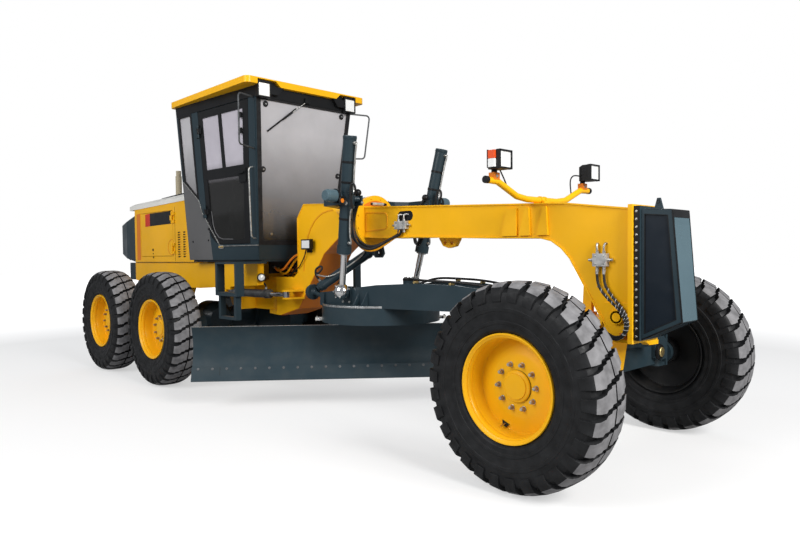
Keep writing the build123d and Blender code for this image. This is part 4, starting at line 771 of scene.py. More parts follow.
def cab_inside():
    """Lining, levers and seat, as seen through the glass."""
    p = Piece("cab_lining", "rear_frame", LINING, "black_plastic", 0.002)
    p.prism(at_z(3.150, ((-1.580, -0.660), (-0.120, -0.560), (-0.120, 0.560), (-1.580, 0.660))), Z * 0.012)
    p.border(rear_screen, [(-0.545, 0.060), (0.545, 0.060), (0.665, 1.715), (-0.665, 1.715)],
             beside(REAR_SCREEN, -0.006, True), -0.060, -0.052)
    for sign in (-1, 1):
        at = side_wall(sign)
        p.plate(at, [(-1.560, 0.05), (-1.200, 0.05), (-1.190, 1.72), (-1.318, 1.72), (-1.318, 0.695),
                     (-1.560, 0.90)], -0.060, -0.051)
        p.plate(at, [(-0.380, 0.05), (-0.300, 0.05), (-0.110, 1.72), (-0.190, 1.72)], -0.060, -0.051)
        p.use(GREY).plate(at, [(-1.180, 0.05), (-0.320, 0.05), (-0.315, 0.15), (-1.180, 0.15)], -0.060,
                          -0.051)
        p.use(LINING)
    p.done()
    p = Piece("control_levers", "rear_frame", GREY, "black_plastic", 0.002)
    for sign in (-1, 1):
        bank = ((-0.490, 2.078), (-0.322, 2.078), (-0.340, 2.110), (-0.470, 2.110))
        p.use(GREY).prism(at_y(sign * 0.062, bank), Y * sign * 0.160)
        for i in range(5):
            y, lean = 0.082 + 0.030 * i, 0.010 * i
            foot = Vector((-0.405, sign * y, 2.105))
            knob = Vector((-0.440 - lean, sign * (y + 0.012), 2.245))
            p.use(STEEL).rod(foot, knob, 0.0055, 12)
            p.use(BLACK).lathe([(0.0, -0.030), (0.010, -0.028), (0.017, -0.006), (0.017, 0.012),
                                (0.010, 0.026), (0.0, 0.028)], knob, knob - foot, 18)
            p.rod(foot, foot + Z * 0.020, 0.014, 14, 0.008)
    p.done()
    p = Piece("seat_frame", "rear_frame", GREY, "black_plastic", 0.006)
    p.box((-1.180, -0.760), (-0.170, 0.170), (1.462, 1.500))
    p.box((-1.130, -0.810), (-0.140, 0.140), (1.640, 1.700))
    for i in range(4):
        z = 1.505 + 0.034 * i
        p.box((-1.150 + 0.008 * (i % 2), -0.790 - 0.008 * (i % 2)), (-0.150, 0.150), (z, z + 0.028))
    for sign in (-1, 1):
        p.use(GREY).box((-1.210, -1.130), (sign * 0.262, sign * 0.290), (1.780, 2.060))
        p.use(BLACK).box((-1.190, -0.880), (sign * 0.258, sign * 0.318), (2.050, 2.098))
    p.done("seat")
    pad("seat_cushion", (-0.965, 0.0, 1.790), (0.270, 0.245, 0.070), 0.0, (0.0, 0.62))
    pad("seat_back", (-1.235, 0.0, 2.150), (0.265, 0.235, 0.062), 1.386, (-0.30, 0.35))
    pad("seat_headrest", (-1.290, 0.0, 2.480), (0.070, 0.150, 0.045), 1.386, ())


PAD_CUTS, PAD_STEPS = 23, 12
PAD_SWELL = 0.014       # the most that a point of a pad moves out


def pad(name, centre, half, tilt, channels):
    """Stuffed pad: a rounded cushion with sewn channels across it, swollen as cloth between its seams."""
    bm = bmesh.new()
    bmesh.ops.create_cube(bm, size=2.0)
    bmesh.ops.subdivide_edges(bm, edges=bm.edges, cuts=PAD_CUTS, use_grid_fill=True)
    a, b, c = half
    pinned = []
    for v in bm.verts:
        x, y, z = v.co
        size = (abs(x) ** 7 + abs(y) ** 7 + abs(z) ** 3.2) ** (1 / 5.6)
        x, y, z = x / size, y / size, z / size
        seam = max([0.0] + [1 - abs(x - at) / 0.05 for at in channels])
        rim = max(0.0, 1 - abs(z) / 0.12)
        crown = 0.78 + 0.22 * (1 - x * x) * (1 - y * y)
        v.co = (a * x * (1 - 0.03 * y * y), b * y * (1 - 0.05 * x * x),
                c * z * crown * (1 - 0.30 * seam * (z > 0)))
        if (seam > 0.4 and z > 0) or rim > 0.5 or z < -0.5:
            pinned.append(v.index)
    mesh = bpy.data.meshes.new(name)
    bm.to_mesh(mesh)
    bm.free()
    mesh.materials.append(CLOTH)
    place = Matrix.Translation(centre) @ Matrix.Rotation(-tilt, 4, "Y")
    made = placed(mesh, name, "rear_frame", "seat_fabric", 0, 80, (), place)
    mesh = made.data
    rest = [v.co.copy() for v in mesh.vertices]
    group = made.vertex_groups.new(name="seams")
    group.add(pinned, 1.0, "REPLACE")
    cloth = made.modifiers.new("swell", "CLOTH")
    cloth.settings.vertex_group_mass = "seams"
    cloth.settings.use_pressure = True
    cloth.settings.uniform_pressure_force = 4.0
    cloth.settings.effector_weights.gravity = 0.0
    cloth.settings.quality = 5
    for step in range(1, PAD_STEPS + 1):
        bpy.context.scene.frame_set(step)
    swollen = made.evaluated_get(bpy.context.evaluated_depsgraph_get()).data
    for v, home, after in zip(mesh.vertices, rest, [w.co.copy() for w in swollen.vertices]):
        move = after - home
        v.co = home + move * min(1.0, PAD_SWELL / max(move.length, 1e-9))
    made.modifiers.remove(cloth)
    bpy.context.scene.frame_set(1)
    smooth = made.modifiers.new("smooth", "SUBSURF")
    smooth.levels = smooth.render_levels = 1


# ---- engine hood ----------------------------------------------------------------------
HOOD_HALF = 0.480


def hood_dress():
    """Louvres, panel lines, door trim and top rails of the hood."""
    for side, sign in SIDES:
        at = flank(HOOD_HALF, sign)
        p = Piece(f"hood_trim_{side}", "rear_frame", BLACK, "black_plastic")
        for x in (-2.201, -2.053):
            for i in range(11):
                z = 1.465 + 0.031 * i
                p.plate(at, oblong(x - 0.0485, x + 0.0485, z + 0.0005, z + 0.0165), -0.0078, -0.0060)
        p.use(ORANGE_AND_SHADE).plate(at, [(-3.465, 1.430), (-3.345, 1.430), (-3.345, 2.085), (-3.465, 2.075)], 0.0,
                            0.002)
        p.use(BLACK).strip(at, [(-3.500, 1.402), (-1.700, 1.402)], 0.006, 0.0, 0.004)
        p.strip(at, [(-2.272, 1.415), (-2.274, 2.120)], 0.004, 0.0, 0.0015)
        p.done()
        door = Piece(f"hood_door_trim_{side}", f"hood_door_{side}", YELLOW, "yellow_paint", 0.001)
        cup = [(-2.342, 1.700), (-2.400, 1.694), (-2.452, 1.668), (-2.480, 1.615), (-2.478, 1.570),
               (-2.455, 1.528), (-2.405, 1.504), (-2.345, 1.500)]
        door.use(ORANGE_AND_SHADE).strip(at, cup, 0.006, 0.0, 0.003)
        door.use(BLACK)
        for x, z, r in ((-2.940, 1.570, 0.018), (-2.936, 1.518, 0.007), (-2.930, 1.468, 0.012)):
            door.rod(at(x, z), at(x, z, 0.006), r, 20)
        if side == "right":
            door.use(RED).plate(at, [(-3.170, 1.892), (-3.020, 1.896), (-3.020, 2.068), (-3.170, 2.060)],
                                0.0, 0.004)
            door.use(BLACK).plate(at, [(-3.020, 1.896), (-2.385, 1.905), (-2.385, 2.072), (-3.020, 2.068)],
                                  0.0, 0.004)
        door.done()
        y = sign * 0.330
        tube(f"hood_rail_{side}", [(-3.020, y, 2.175), (-3.035, y, 2.230), (-3.000, y, 2.262),
                                   (-2.900, y, 2.272), (-2.200, y, 2.300), (-1.800, y, 2.316),
                                   (-1.735, y, 2.300), (-1.730, y, 2.195)], 0.013, BLACK, "rear_frame",
             "black_paint")
        feet = Piece(f"hood_rail_feet_{side}", "rear_frame", BLACK, "black_paint", 0.001)
        for x, low, high in ((-3.020, 2.160, 2.190), (-2.600, 2.170, 2.284), (-2.160, 2.178, 2.302),
                             (-1.730, 2.185, 2.205)):
            feet.rod((x, y, low), (x, y, high), 0.010, 14)
            feet.rod((x, y, low), (x, y, low + 0.014), 0.026, 18)
        feet.done()


# faces of a slab whose two sides are given by four corners each
SLAB = [(0, 1, 2, 3), (7, 6, 5, 4), (0, 4, 5, 1), (1, 5, 6, 2), (2, 6, 7, 3), (3, 7, 4, 0)]


# ---- gooseneck, beam and nose ------------------------------------------------------------
def bent(name, points, radius, material, slot_name, a):
    """Hose through its points, made on body a and turned into a plain smooth mesh in the frame's
    coordinates.
    """
    soft = tube(name, points, radius, material, a, slot_name)
    bpy.context.view_layer.update()
    mesh = bpy.data.meshes.new_from_object(soft)
    bpy.data.objects.remove(soft)
    mesh.materials.clear()
    mesh.materials.append(material)
    mesh.polygons.foreach_set("use_smooth", [True] * len(mesh.polygons))
    made = bpy.data.objects.new(name, mesh)
    bpy.context.collection.objects.link(made)
    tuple(points[0])
    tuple(points[-1])
    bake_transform(made)


FRAME_HOSES = (ORANGE_AND_SHADE, YELLOW, HOSE, ORANGE_AND_SHADE, YELLOW, HOSE, ORANGE_AND_SHADE)


def frame_hose(i):
    """Distance from the middle and drop of one hose of the row between the frames."""
    return -0.185 + 0.052 * i, 0.018 * (i % 3)


def neck_dress():
    """Weld seams, the underside's front flange in painted shade, work lamps and the hoses between the
    frames.
    """
    p = Piece("neck_trim", "front_frame", YELLOW, "yellow_paint", 0.001)
    for sign in (-1, 1):
        at = flank(0.185, sign)
        weld = [(0.640, 1.927), (0.560, 1.922), (0.470, 1.905), (0.390, 1.870), (0.320, 1.820),
                (0.262, 1.755), (0.220, 1.690), (0.185, 1.610), (0.158, 1.510), (0.140, 1.400),
                (0.128, 1.300)]
        p.use(AMBER).strip(at, weld, 0.014, -0.002, 0.005)
        p.use(YELLOW).strip(at, [(0.025, 1.285), (0.025, 1.866), (0.140, 2.012), (0.566, 1.991),
                                 (0.741, 1.859)], 0.010, -0.003, 0.006)
    # painted shade: an orange band along the gooseneck's front flange, which faces down and away from the
    # light
    edge = [(0.748, 1.845), (0.719, 1.640), (0.481, 1.486), (0.301, 1.248), (0.183, 1.098), (0.022, 0.898),
            (-0.325, 0.806)]
    lower = beside(edge, 0.004)
    p.use(ORANGE_AND_SHADE)
    for (x0, z0), (x1, z1), (x2, z2), (x3, z3) in zip(edge, edge[1:], lower, lower[1:]):
        p.faces([(x, y, z) for y in (-0.183, 0.183) for x, z in ((x0, z0), (x1, z1), (x3, z3), (x2, z2))],
                SLAB)
    p.done()
    p = Piece("neck_work_lamp", "front_frame", BLACK, "black_plastic", 0.003)
    p.prism(at_y(-0.205, oblong(0.195, 0.325, 1.545, 1.630)), Y * -0.012)
    p.prism(at_y(-0.217, oblong(0.180, 0.340, 1.532, 1.640)), Y * -0.040)
    p.use(LAMP_WHITE).box((0.194, 0.326), (-0.256, -0.2600), (1.546, 1.626))
    p.use(BLACK).box((0.235, 0.285), (-0.185, -0.208), (1.505, 1.535))
    p.box((0.250, 0.270), (-0.185, -0.235), (1.500, 1.534))
    p.done()
    tube("neck_lamp_cable", [(0.215, -0.215, 1.540), (0.190, -0.213, 1.470), (0.120, -0.205, 1.400),
                             (0.075, -0.200, 1.355), (0.030, -0.199, 1.330), (-0.020, -0.196, 1.320)],
         0.006, BLACK, "front_frame", "black_plastic")
    for i, colour in enumerate(FRAME_HOSES):
        y, drop = frame_hose(i)
        bent(f"frame_hose_{i}", [(-0.470, y * 0.9, 1.345 - drop), (-0.440, y * 0.9, 1.335 - drop),
                                 (-0.370, y, 1.300 - drop * 2), (-0.250, y, 1.315 - drop * 2),
                                 (-0.160, y * 0.95, 1.400 - drop), (-0.060, y * 0.9, 1.470 - drop),
                                 (0.024, y * 0.85, 1.490 - drop)], 0.0125, colour, "black_plastic",
             "rear_frame")
    front = Piece("frame_hose_ends", "front_frame", STEEL, "chrome_rod", 0.001)
    for i in range(len(FRAME_HOSES)):
        y, drop = frame_hose(i)
        front.rod((0.000, y * 0.85, 1.484 - drop), (0.022, y * 0.85, 1.490 - drop), 0.018, 6)
    front.done()
    rear = Piece("hose_bulkhead", "rear_frame", BLACK, "black_paint", 0.002)
    rear.box((-0.500, -0.470), (-0.220, 0.220), (1.270, 1.407))
    for i in range(len(FRAME_HOSES)):
        y, drop = frame_hose(i)
        rear.use(STEEL).rod((-0.470, y * 0.9, 1.345 - drop), (-0.446, y * 0.9, 1.337 - drop), 0.018, 6)
    rear.done()
    p = Piece("rail_lamp", "rear_frame", BLACK, "black_plastic", 0.0015)
    for sign in (-1, 1):
        centre, ahead = (-0.325, sign * 0.430, 1.235), (1, sign * 0.55, 0)
        p.use(BLACK).lathe([(0.0, 0.0), (0.040, 0.0), (0.047, 0.012), (0.047, 0.040), (0.041, 0.044),
                            (0.036, 0.038), (0.0, 0.038)], centre, ahead, 28)
        p.use(LAMP_WHITE).lathe([(0.0, 0.036), (0.037, 0.036), (0.030, 0.047), (0.0, 0.053)], centre, ahead,
                                28)
    p.done()


BEAM_HALF = 0.150


def beam_dress():
    """Flange edges, ports, valves, pipes and hoses along the beam."""
    top = [(1.090, 1.926), (1.435, 1.912), (3.300, 1.828), (3.808, 1.762)]
    low = [(1.090, 1.643), (1.300, 1.630), (1.829, 1.624), (2.405, 1.602), (3.091, 1.584), (3.192, 1.559),
           (3.278, 1.503), (3.349, 1.428), (3.608, 0.994), (3.700, 0.856)]
    p = Piece("beam_edges", "front_frame", YELLOW, "yellow_paint", 0.0015)
    for sign in (-1, 1):
        at = flank(BEAM_HALF, sign)
        p.strip(at, top, 0.012, -0.002, 0.009)
        p.strip(at, low, 0.012, -0.002, 0.009)
        p.use(AMBER).border(at, [(1.105, 1.690), (1.385, 1.705), (1.408, 1.730), (1.410, 1.830),
                                 (1.385, 1.862), (1.105, 1.880)],
                            [(1.112, 1.700), (1.379, 1.715), (1.398, 1.734), (1.400, 1.826), (1.378, 1.852),
                             (1.112, 1.870)], -0.001, 0.005)
        p.use(YELLOW)
    p.done()
    p = Piece("beam_ports", "front_frame", BLACK, "black_plastic", 0.001)
    at = flank(BEAM_HALF, -1)
    p.plate(at, oval(1.645, 1.818, 0.098, 0.045), 0.0, 0.0015)
    # painted shade: the two black discs stand for the dark inside of two open holes in the beam
    p.collar(0.0, 0.0545, 0.0, 0.0015, (3.613, -0.1355, 1.517), -Y, 40)
    p.rod((3.724, -0.150, 1.022), (3.724, -0.1515, 1.022), 0.024, 28)
    p.use(YELLOW).lathe([(0.026, 0.0), (0.048, 0.0), (0.048, 0.030), (0.044, 0.034), (0.030, 0.034),
                         (0.026, 0.030)], (3.724, -0.150, 1.022), -Y, 40)
    # painted shade: an orange patch on the lower recess of the beam's leg, which lies in shade behind the
    # hoses
    p.use(ORANGE_AND_SHADE).plate(at, [(3.640, 0.965), (3.800, 0.965), (3.800, 0.858), (3.722, 0.858)], 0.0, 0.003)
    p.plate(at, [(3.735, 0.915), (3.755, 0.875), (3.830, 0.860), (3.840, 0.885), (3.775, 0.915)], 0.0,
            0.014)
    p.done()
    p = Piece("beam_valves", "front_frame", GREY, "dark_steel", 0.003)
    for x, z, half, tall in ((1.615, 1.735, 0.070, 0.036), (3.603, 1.415, 0.052, 0.045)):
        p.use(METAL_GREY).box((x - half, x + half), (-0.150, -0.196), (z - tall, z + tall))
        p.use(STEEL)
        for side in (-1, 1):
            end, port = x + side * half, x + side * half * 0.5
            p.rod((end, -0.172, z), (x + side * (half + 0.018), -0.172, z), 0.014, 6)
            p.rod((x + side * (half + 0.018), -0.172, z), (x + side * (half + 0.040), -0.172, z), 0.010, 16)
            p.rod((port, -0.173, z + tall), (port, -0.173, z + tall + 0.018), 0.013, 6)
            p.rod((port, -0.173, z - tall), (port, -0.173, z - tall - 0.030), 0.012, 6)
        for dx in (-0.6, 0.6):
            for dz in (-0.6, 0.6):
                p.bolt((x + dx * half, -0.196, z + dz * tall), -Y, 0.006, 0.006)
    p.done()
    for i, (x0, x1) in enumerate(((1.580, 1.600), (1.650, 1.690))):
        tube(f"beam_pipe_{i}", [(x0, -0.174, 1.788), (x0, -0.176, 1.818), (x0 + 0.008, -0.166, 1.836),
                                (x1, -0.148, 1.830)], 0.008, STEEL, "front_frame", "chrome_rod")
    for i, side in enumerate((-1, 1)):
        x = 3.603 + side * 0.026
        tube(f"nose_pipe_{i}", [(x, -0.174, 1.476), (x, -0.177, 1.505), (x + side * 0.004, -0.166, 1.535),
                                (x + side * 0.010, -0.140, 1.528)], 0.008, STEEL, "front_frame",
             "chrome_rod")
        start = Vector((x, -0.173, 1.345))
        path = [start, start + Vector((0, -0.004, -0.04)), (x + 0.012, -0.180, 1.235),
                (x + 0.065, -0.186, 1.165), (3.760 + side * 0.014, -0.192, 1.085),
                (3.806 + side * 0.009, -0.194, 1.015), (3.808 + side * 0.008, -0.193, 0.940),
                (3.765, -0.188, 0.884 - side * 0.006), (3.690, -0.176, 0.872 - side * 0.010),
                (3.650, -0.150, 0.905)]
        tube(f"nose_hose_{i}", path, 0.0095, HOSE, "front_frame", "black_plastic")
        spiral_guard(f"nose_hose_guard_{i}", path[2:8], 0.0105, "front_frame")
        p = Piece(f"nose_hose_fitting_{i}", "front_frame", STEEL, "chrome_rod")
        p.rod(start + Z * 0.012, start + Vector((0, -0.003, -0.030)), 0.0115, 14)
        p.rod(start + Z * 0.002, start + Z * -0.012, 0.014, 6)
        p.done()


def spiral_guard(name, points, radius, body):
    """Plastic coil wound round a hose, along the hose's own spline."""
    guide = tube(f"{name}_guide", points, 0.0, HOSE, body, "black_plastic")
    bpy.context.view_layer.update()
    line = bpy.data.meshes.new_from_object(guide)
    spots = [v.co.copy() for v in line.vertices]
    bpy.data.objects.remove(guide)
    bpy.data.meshes.remove(line)
    steps, per_turn = 3, 9.3        # points on each stretch of the spline, and on each turn of the coil
    coil = []
    for i, (spot, after) in enumerate(zip(spots, spots[1:])):
        ahead = (after - spot).normalized()
        across = ahead.orthogonal().normalized()
        for step in range(steps):
            wind = Matrix.Rotation(2 * pi * (i * steps + step) / per_turn, 3, ahead)
            coil.append(spot.lerp(after, step / steps) + wind @ across * radius)
    tube(name, coil, 0.0022, GREY_LIGHT, body, "black_plastic")


def nose_side(sign):
    """Tapered side of the nose: x, z and distance out of it."""
    def at(x, z, out=0.0):
        return Vector((x, sign * (0.148 - 0.107143 * (x - 3.880) + out), z))
    return at


def nose_dress():
    """Bolted flange, sunk side panels and edges of the nose."""
    p = Piece("nose_trim", "front_frame", BLACK, "black_paint", 0.0015)
    for sign in (-1, 1):
        at, skin = flank(0.1685, sign), nose_side(sign)
        p.use(BLACK).plate(at, oblong(3.8445, 3.885, 0.872, 1.774), 0.0, 0.003)
        p.use(STEEL)
        for i in range(17):
            p.bolt(at(3.864, 0.900 + 0.0525 * i, 0.003), (0, sign, 0), 0.0065, 0.007)
        sunk = [(3.906, 0.918), (4.116, 1.024), (4.060, 1.708), (3.906, 1.722)]
        p.use(NOSE_PANEL).plate(skin, beside(sunk, 0.003, True), -0.0092, -0.0070)
        p.use(BLACK).border(skin, sunk, beside(sunk, 0.006, True), -0.0092, 0.0015)
        p.strip(skin, [(4.088, 1.741), (4.151, 1.008)], 0.010, -0.002, 0.002)
        p.strip(skin, [(4.151, 1.008), (3.890, 0.879)], 0.010, -0.002, 0.002)
    lip = [(4.087, -0.122, 1.7425), (4.087, 0.122, 1.7425), (4.092, 0.122, 1.690), (4.092, -0.122, 1.690)]
    p.use(BLACK).prism(lip, (0.005, 0, 0.001))
    p.use(TEAL_LIGHT).prism(at_x(4.0935, ((-0.114, 1.688), (0.114, 1.688), (0.110, 1.020),
                                          (-0.110, 1.020))), X * 0.004)
    p.done()


def nose_face():
    """The nose's leaning front sheet and its rounded upper edge."""
    p = Piece("nose_face", "front_frame", TEAL_LIGHT, "teal_paint", 0.002)
    p.faces([(4.0895, -0.1225, 1.736), (4.0895, 0.1225, 1.736), (4.1525, 0.1165, 1.010),
             (4.1525, -0.1165, 1.010), (4.0865, -0.1225, 1.736), (4.0865, 0.1225, 1.736),
             (4.1490, 0.1165, 1.010), (4.1490, -0.1165, 1.010)], SLAB)
    lid = [(3.905, -0.138, 1.7535), (3.905, 0.138, 1.7535), (4.075, 0.120, 1.7445), (4.075, -0.120, 1.7445)]
    p.use(BRUSHED_AND_HIGHLIGHT).prism(lid, Z * 0.0015)
    p.use(BLACK).collar(0.008, 0.014, -0.010, 0.010, (3.940, 0.0, 1.806), Y, 24)
    p.done()
    cap = Piece("axle_pivot_caps", "front_frame", BLACK, "black_paint", 0.0015)
    for sign in (-1, 1):
        foot = (3.642, sign * 0.640, 0.690)
        cap.use(BLACK).lathe([(0.0, 0.0), (0.060, 0.0), (0.062, 0.010), (0.056, 0.024), (0.044, 0.026),
                              (0.040, 0.020), (0.0, 0.020)], foot, X, 36)
        cap.use(BRASS).lathe([(0.0, 0.020), (0.039, 0.020), (0.039, 0.031), (0.034, 0.035), (0.0, 0.036)],
                             foot, X, 36)
    guard = [(0.150, 0.870), (0.300, 0.842), (0.420, 0.812), (0.420, 0.782), (0.280, 0.786), (0.150, 0.848)]
    cap.use(YELLOW).prism(at_x(3.690, guard), X * 0.055)
    cap.done()


def lamps_dress():
    """Headlamp rims, lenses, mounts in painted shade and cables, and the bar's clamps."""
    for side, sign in SIDES:
        p = Piece(f"headlamp_glass_{side}", "front_frame", BLACK, "black_plastic", 0.002)
        y0, y1 = 0.535, 0.675
        for y, z in (((y0 - 0.003, y0 + 0.010), (2.061, 2.194)), ((y1 - 0.010, y1 + 0.003), (2.061, 2.194)),
                     ((y0, y1), (2.061, 2.073)), ((y0, y1), (2.182, 2.194))):
            p.box((3.088, 3.1215), [sign * v for v in y], z)
        glass = oblong(y0 + 0.010, y1 - 0.010, 2.073, 2.182)
        p.use(LAMP_WHITE).prism([(3.1085, sign * y, z) for y, z in glass], X * 0.005)
        p.use(BLACK)
        for i in range(4):
            z = 2.083 + 0.026 * i
            p.box((3.030, 3.085), (sign * (y0 - 0.002), sign * y0), (z, z + 0.014))
        p.use(LAMP_ORANGE).box((3.028, 3.086), (sign * (y1 - 0.001), sign * (y1 + 0.022)), (2.132, 2.190))
        p.use(LAMP_WHITE).box((3.028, 3.086), (sign * (y1 - 0.001), sign * (y1 + 0.022)), (2.072, 2.130))
        p.use(BLACK).box((3.022, 3.030), (sign * (y1 - 0.001), sign * (y1 + 0.024)), (2.068, 2.194))
        p.rod((3.007, sign * 0.595, 2.040), (3.007, sign * 0.595, 2.064), 0.021, 18)
        p.done()
        # painted shade: each yellow mount under a lamp is coloured orange for the shade the lamp casts on
        # it
        q = Piece(f"lamp_mount_{side}", "front_frame", ORANGE_AND_SHADE, "yellow_paint", 0.002)
        q.box((2.982, 3.032), (sign * 0.562, sign * 0.628), (1.992, 2.044))
        q.use(BLACK).rod((3.007, sign * 0.672, 1.9886), (3.007, sign * 0.702, 1.9893), 0.0265, 28)
        q.use(STEEL).bolt((3.032, sign * 0.595, 2.018), X, 0.009, 0.008)
        q.done()
        tube(f"lamp_cable_{side}", [(3.000, sign * 0.560, 2.105), (2.975, sign * 0.520, 2.115),
                                    (2.965, sign * 0.480, 2.085), (2.975, sign * 0.455, 2.035),
                                    (2.990, sign * 0.440, 1.985), (3.000, sign * 0.430, 1.940)], 0.0055,
             BLACK, "front_frame", "black_plastic")
    p = Piece("lamp_bar_clamps", "front_frame", YELLOW, "yellow_paint", 0.0015)
    for y in (-0.028, 0.028):
        p.collar(0.0242, 0.031, -0.012, 0.012, (3.007, y, 1.8752), Y, 28)
    p.done()


# ---- saddle, cylinders, drawbar and blade --------------------------------------------------
PUMP_SECTION = [(0.0, 0.0), (0.056, 0.0), (0.056, 0.118), (0.050, 0.124), (0.050, 0.138), (0.044, 0.146),
                (0.0, 0.146)]
FLANGE_BOLTS, FLANGE_CIRCLE, FLANGE_Z = 12, 0.236, 1.790


def saddle_dress():
    """Pumps, bolts, lock pin and lift hoses at the saddle."""
    p = Piece("saddle_fittings", "front_frame", TEAL_LIGHT, "teal_paint", 0.002)
    for sign in (-1, 1):
        pump, front = (1.300, sign * 0.653, 1.995), (1.3495, sign * 0.6435, 1.952)
        p.use(TEAL_LIGHT).lathe(PUMP_SECTION, pump, (0, sign, 0), 40)
        p.use(BLACK).collar(0.0565, 0.064, 0.010, 0.034, pump, (0, sign, 0), 40)
        p.lathe([(0.022, 0.0), (0.042, 0.0), (0.042, 0.010), (0.036, 0.014), (0.022, 0.010)], front, X, 28)
        p.use(ORANGE_AND_SHADE).lathe([(0.0, 0.0), (0.022, 0.0), (0.020, 0.005), (0.0, 0.006)], front, X, 24)
        p.use(STEEL).bolt((1.345, sign * 0.600, 1.930), (1, 0, 0.2), 0.013, 0.016)
        p.bolt((1.389, sign * 0.443, 1.940), X, 0.010, 0.012)
        p.use(BLACK).ball((1.330, sign * 0.443, 2.034), 0.034)
        p.rod((1.330, sign * 0.443, 2.003), (1.330, sign * 0.443, 2.020), 0.022)
        for x, y in ((0.935, 0.240), (0.985, 0.270), (1.130, 0.560), (1.180, 0.600)):
            p.use(STEEL).bolt((x, sign * y, 2.005), Z, 0.012, 0.012)
    for y, up in circle(FLANGE_BOLTS, FLANGE_CIRCLE, 0.5):
        z = FLANGE_Z + up
        if abs(y) > 0.17 or not 1.6 <= z <= 1.97:
            p.use(YELLOW).bolt((1.085, y, z), X, 0.011, 0.010)
    window = [(y, 1.948 + 0.052 * (1 - (y / 0.165) ** 2))
              for y in (-0.160, -0.120, -0.060, 0.0, 0.060, 0.120, 0.160)]
    p.use(ORANGE_AND_SHADE).prism(at_x(1.0848, [*window, (0.160, 1.942), (-0.160, 1.942)]), X * 0.0030)
    for material, y0, y1, radius, n in ((METAL_GREY, -0.060, 0.085, 0.015, 24),
                                        (BLACK, 0.085, 0.125, 0.013, 24),
                                        (BLACK, -0.075, -0.060, 0.010, 16)):
        p.use(material).rod((1.094, y0, 1.966), (1.094, y1, 1.966), radius, n)
    p.done()
    bush = Piece("lock_bush", "front_frame", BLACK, "dark_steel", 0.001)
    bush.collar(0.0225, 0.034, -0.022, 0.022, (0.995, 0.112, 1.490), X, 28)
    bush.done()
    routes = ((HOSE, 0.0, 0.0, 0.0125), (HOSE, 0.030, 0.022, 0.0125), (AMBER, 0.012, 0.040, 0.0105))
    for i, (colour, out, drop, radius) in enumerate(routes):
        path = [(1.590 + out, -0.176, 1.690), (1.588 + out, -0.178, 1.655),
                (1.545, -0.182 - out * 0.4, 1.636 - drop * 0.3), (1.460, -0.215 - out, 1.592 - drop * 0.7),
                (1.385, -0.270 - out, 1.548 - drop), (1.325, -0.320 - out, 1.545 - drop),
                (1.265, -0.365 - out, 1.585 - drop), (1.225, -0.392 - out * 0.6, 1.655 - drop * 0.5),
                (1.212, -0.400 - out * 0.5, 1.750), (1.235, -0.402 - out * 0.3, 1.850),
                (1.285, -0.404 - out * 0.3, 1.935), (1.320, -0.412, 1.995 + drop * 0.3),
                (1.330, -0.430, 2.030)]
        tube(f"lift_hose_{i}", path, radius, colour, "front_frame", "black_plastic")
    for i in range(2):
        y = 0.176 + 0.020 * i
        path = [(1.560, y, 1.800 - 0.03 * i), (1.545, y + 0.015, 1.720),
                (1.470, y + 0.050, 1.620 - 0.02 * i), (1.360, y + 0.110, 1.560 - 0.02 * i),
                (1.255, y + 0.180, 1.600), (1.215, 0.396, 1.720), (1.245, 0.402, 1.880),
                (1.318, 0.412, 1.990), (1.330, 0.430, 2.030)]
        tube(f"far_lift_hose_{i}", path, 0.012, HOSE, "front_frame", "black_plastic")


LIFT_PIPES = (   # name, radius, material, slot, and places on the cylinder: along, ahead, aside
    ("lift_pipe_top", 0.0075, STEEL, "chrome_rod",
     ((-0.500, 0.088), (-0.480, 0.093), (-0.440, 0.086), (-0.330, 0.084), (-0.150, 0.084), (-0.075, 0.090),
      (-0.058, 0.115, 0.01), (-0.052, 0.130, 0.02))),
    ("lift_pipe_low", 0.0075, STEEL, "chrome_rod",
     ((0.395, 0.090), (0.375, 0.095), (0.330, 0.086, 0.014), (0.180, 0.080, 0.020), (0.095, 0.088, 0.022),
      (0.070, 0.110, 0.026))),
    ("lift_hose_loop", 0.0105, HOSE, "black_plastic",
     ((-0.052, 0.130, 0.02), (-0.075, 0.150, 0.03), (-0.140, 0.150, 0.04), (-0.160, 0.120, 0.05),
      (-0.110, 0.100, 0.052), (-0.020, 0.108, 0.048), (0.070, 0.110, 0.026))),
)
SHIFT_PIPES = (("shift_pipe", 0.0075, STEEL, "chrome_rod",
                ((0.690, 0.060), (0.682, 0.056, 0.036), (0.600, 0.018, 0.057), (0.250, 0.020, 0.058),
                 (0.160, 0.075, 0.052), (0.120, 0.130, 0.03))),
               ("shift_hose", 0.0105, HOSE, "black_plastic",
                ((0.120, 0.070), (0.110, 0.120), (0.150, 0.180), (0.220, 0.170, 0.03), (0.180, 0.130, 0.04),
                 (0.120, 0.130, 0.03))),)
ART_HOSE = ((0.640, 0.070), (0.630, 0.110), (0.540, 0.130), (0.300, 0.120), (0.150, 0.115), (0.110, 0.070))


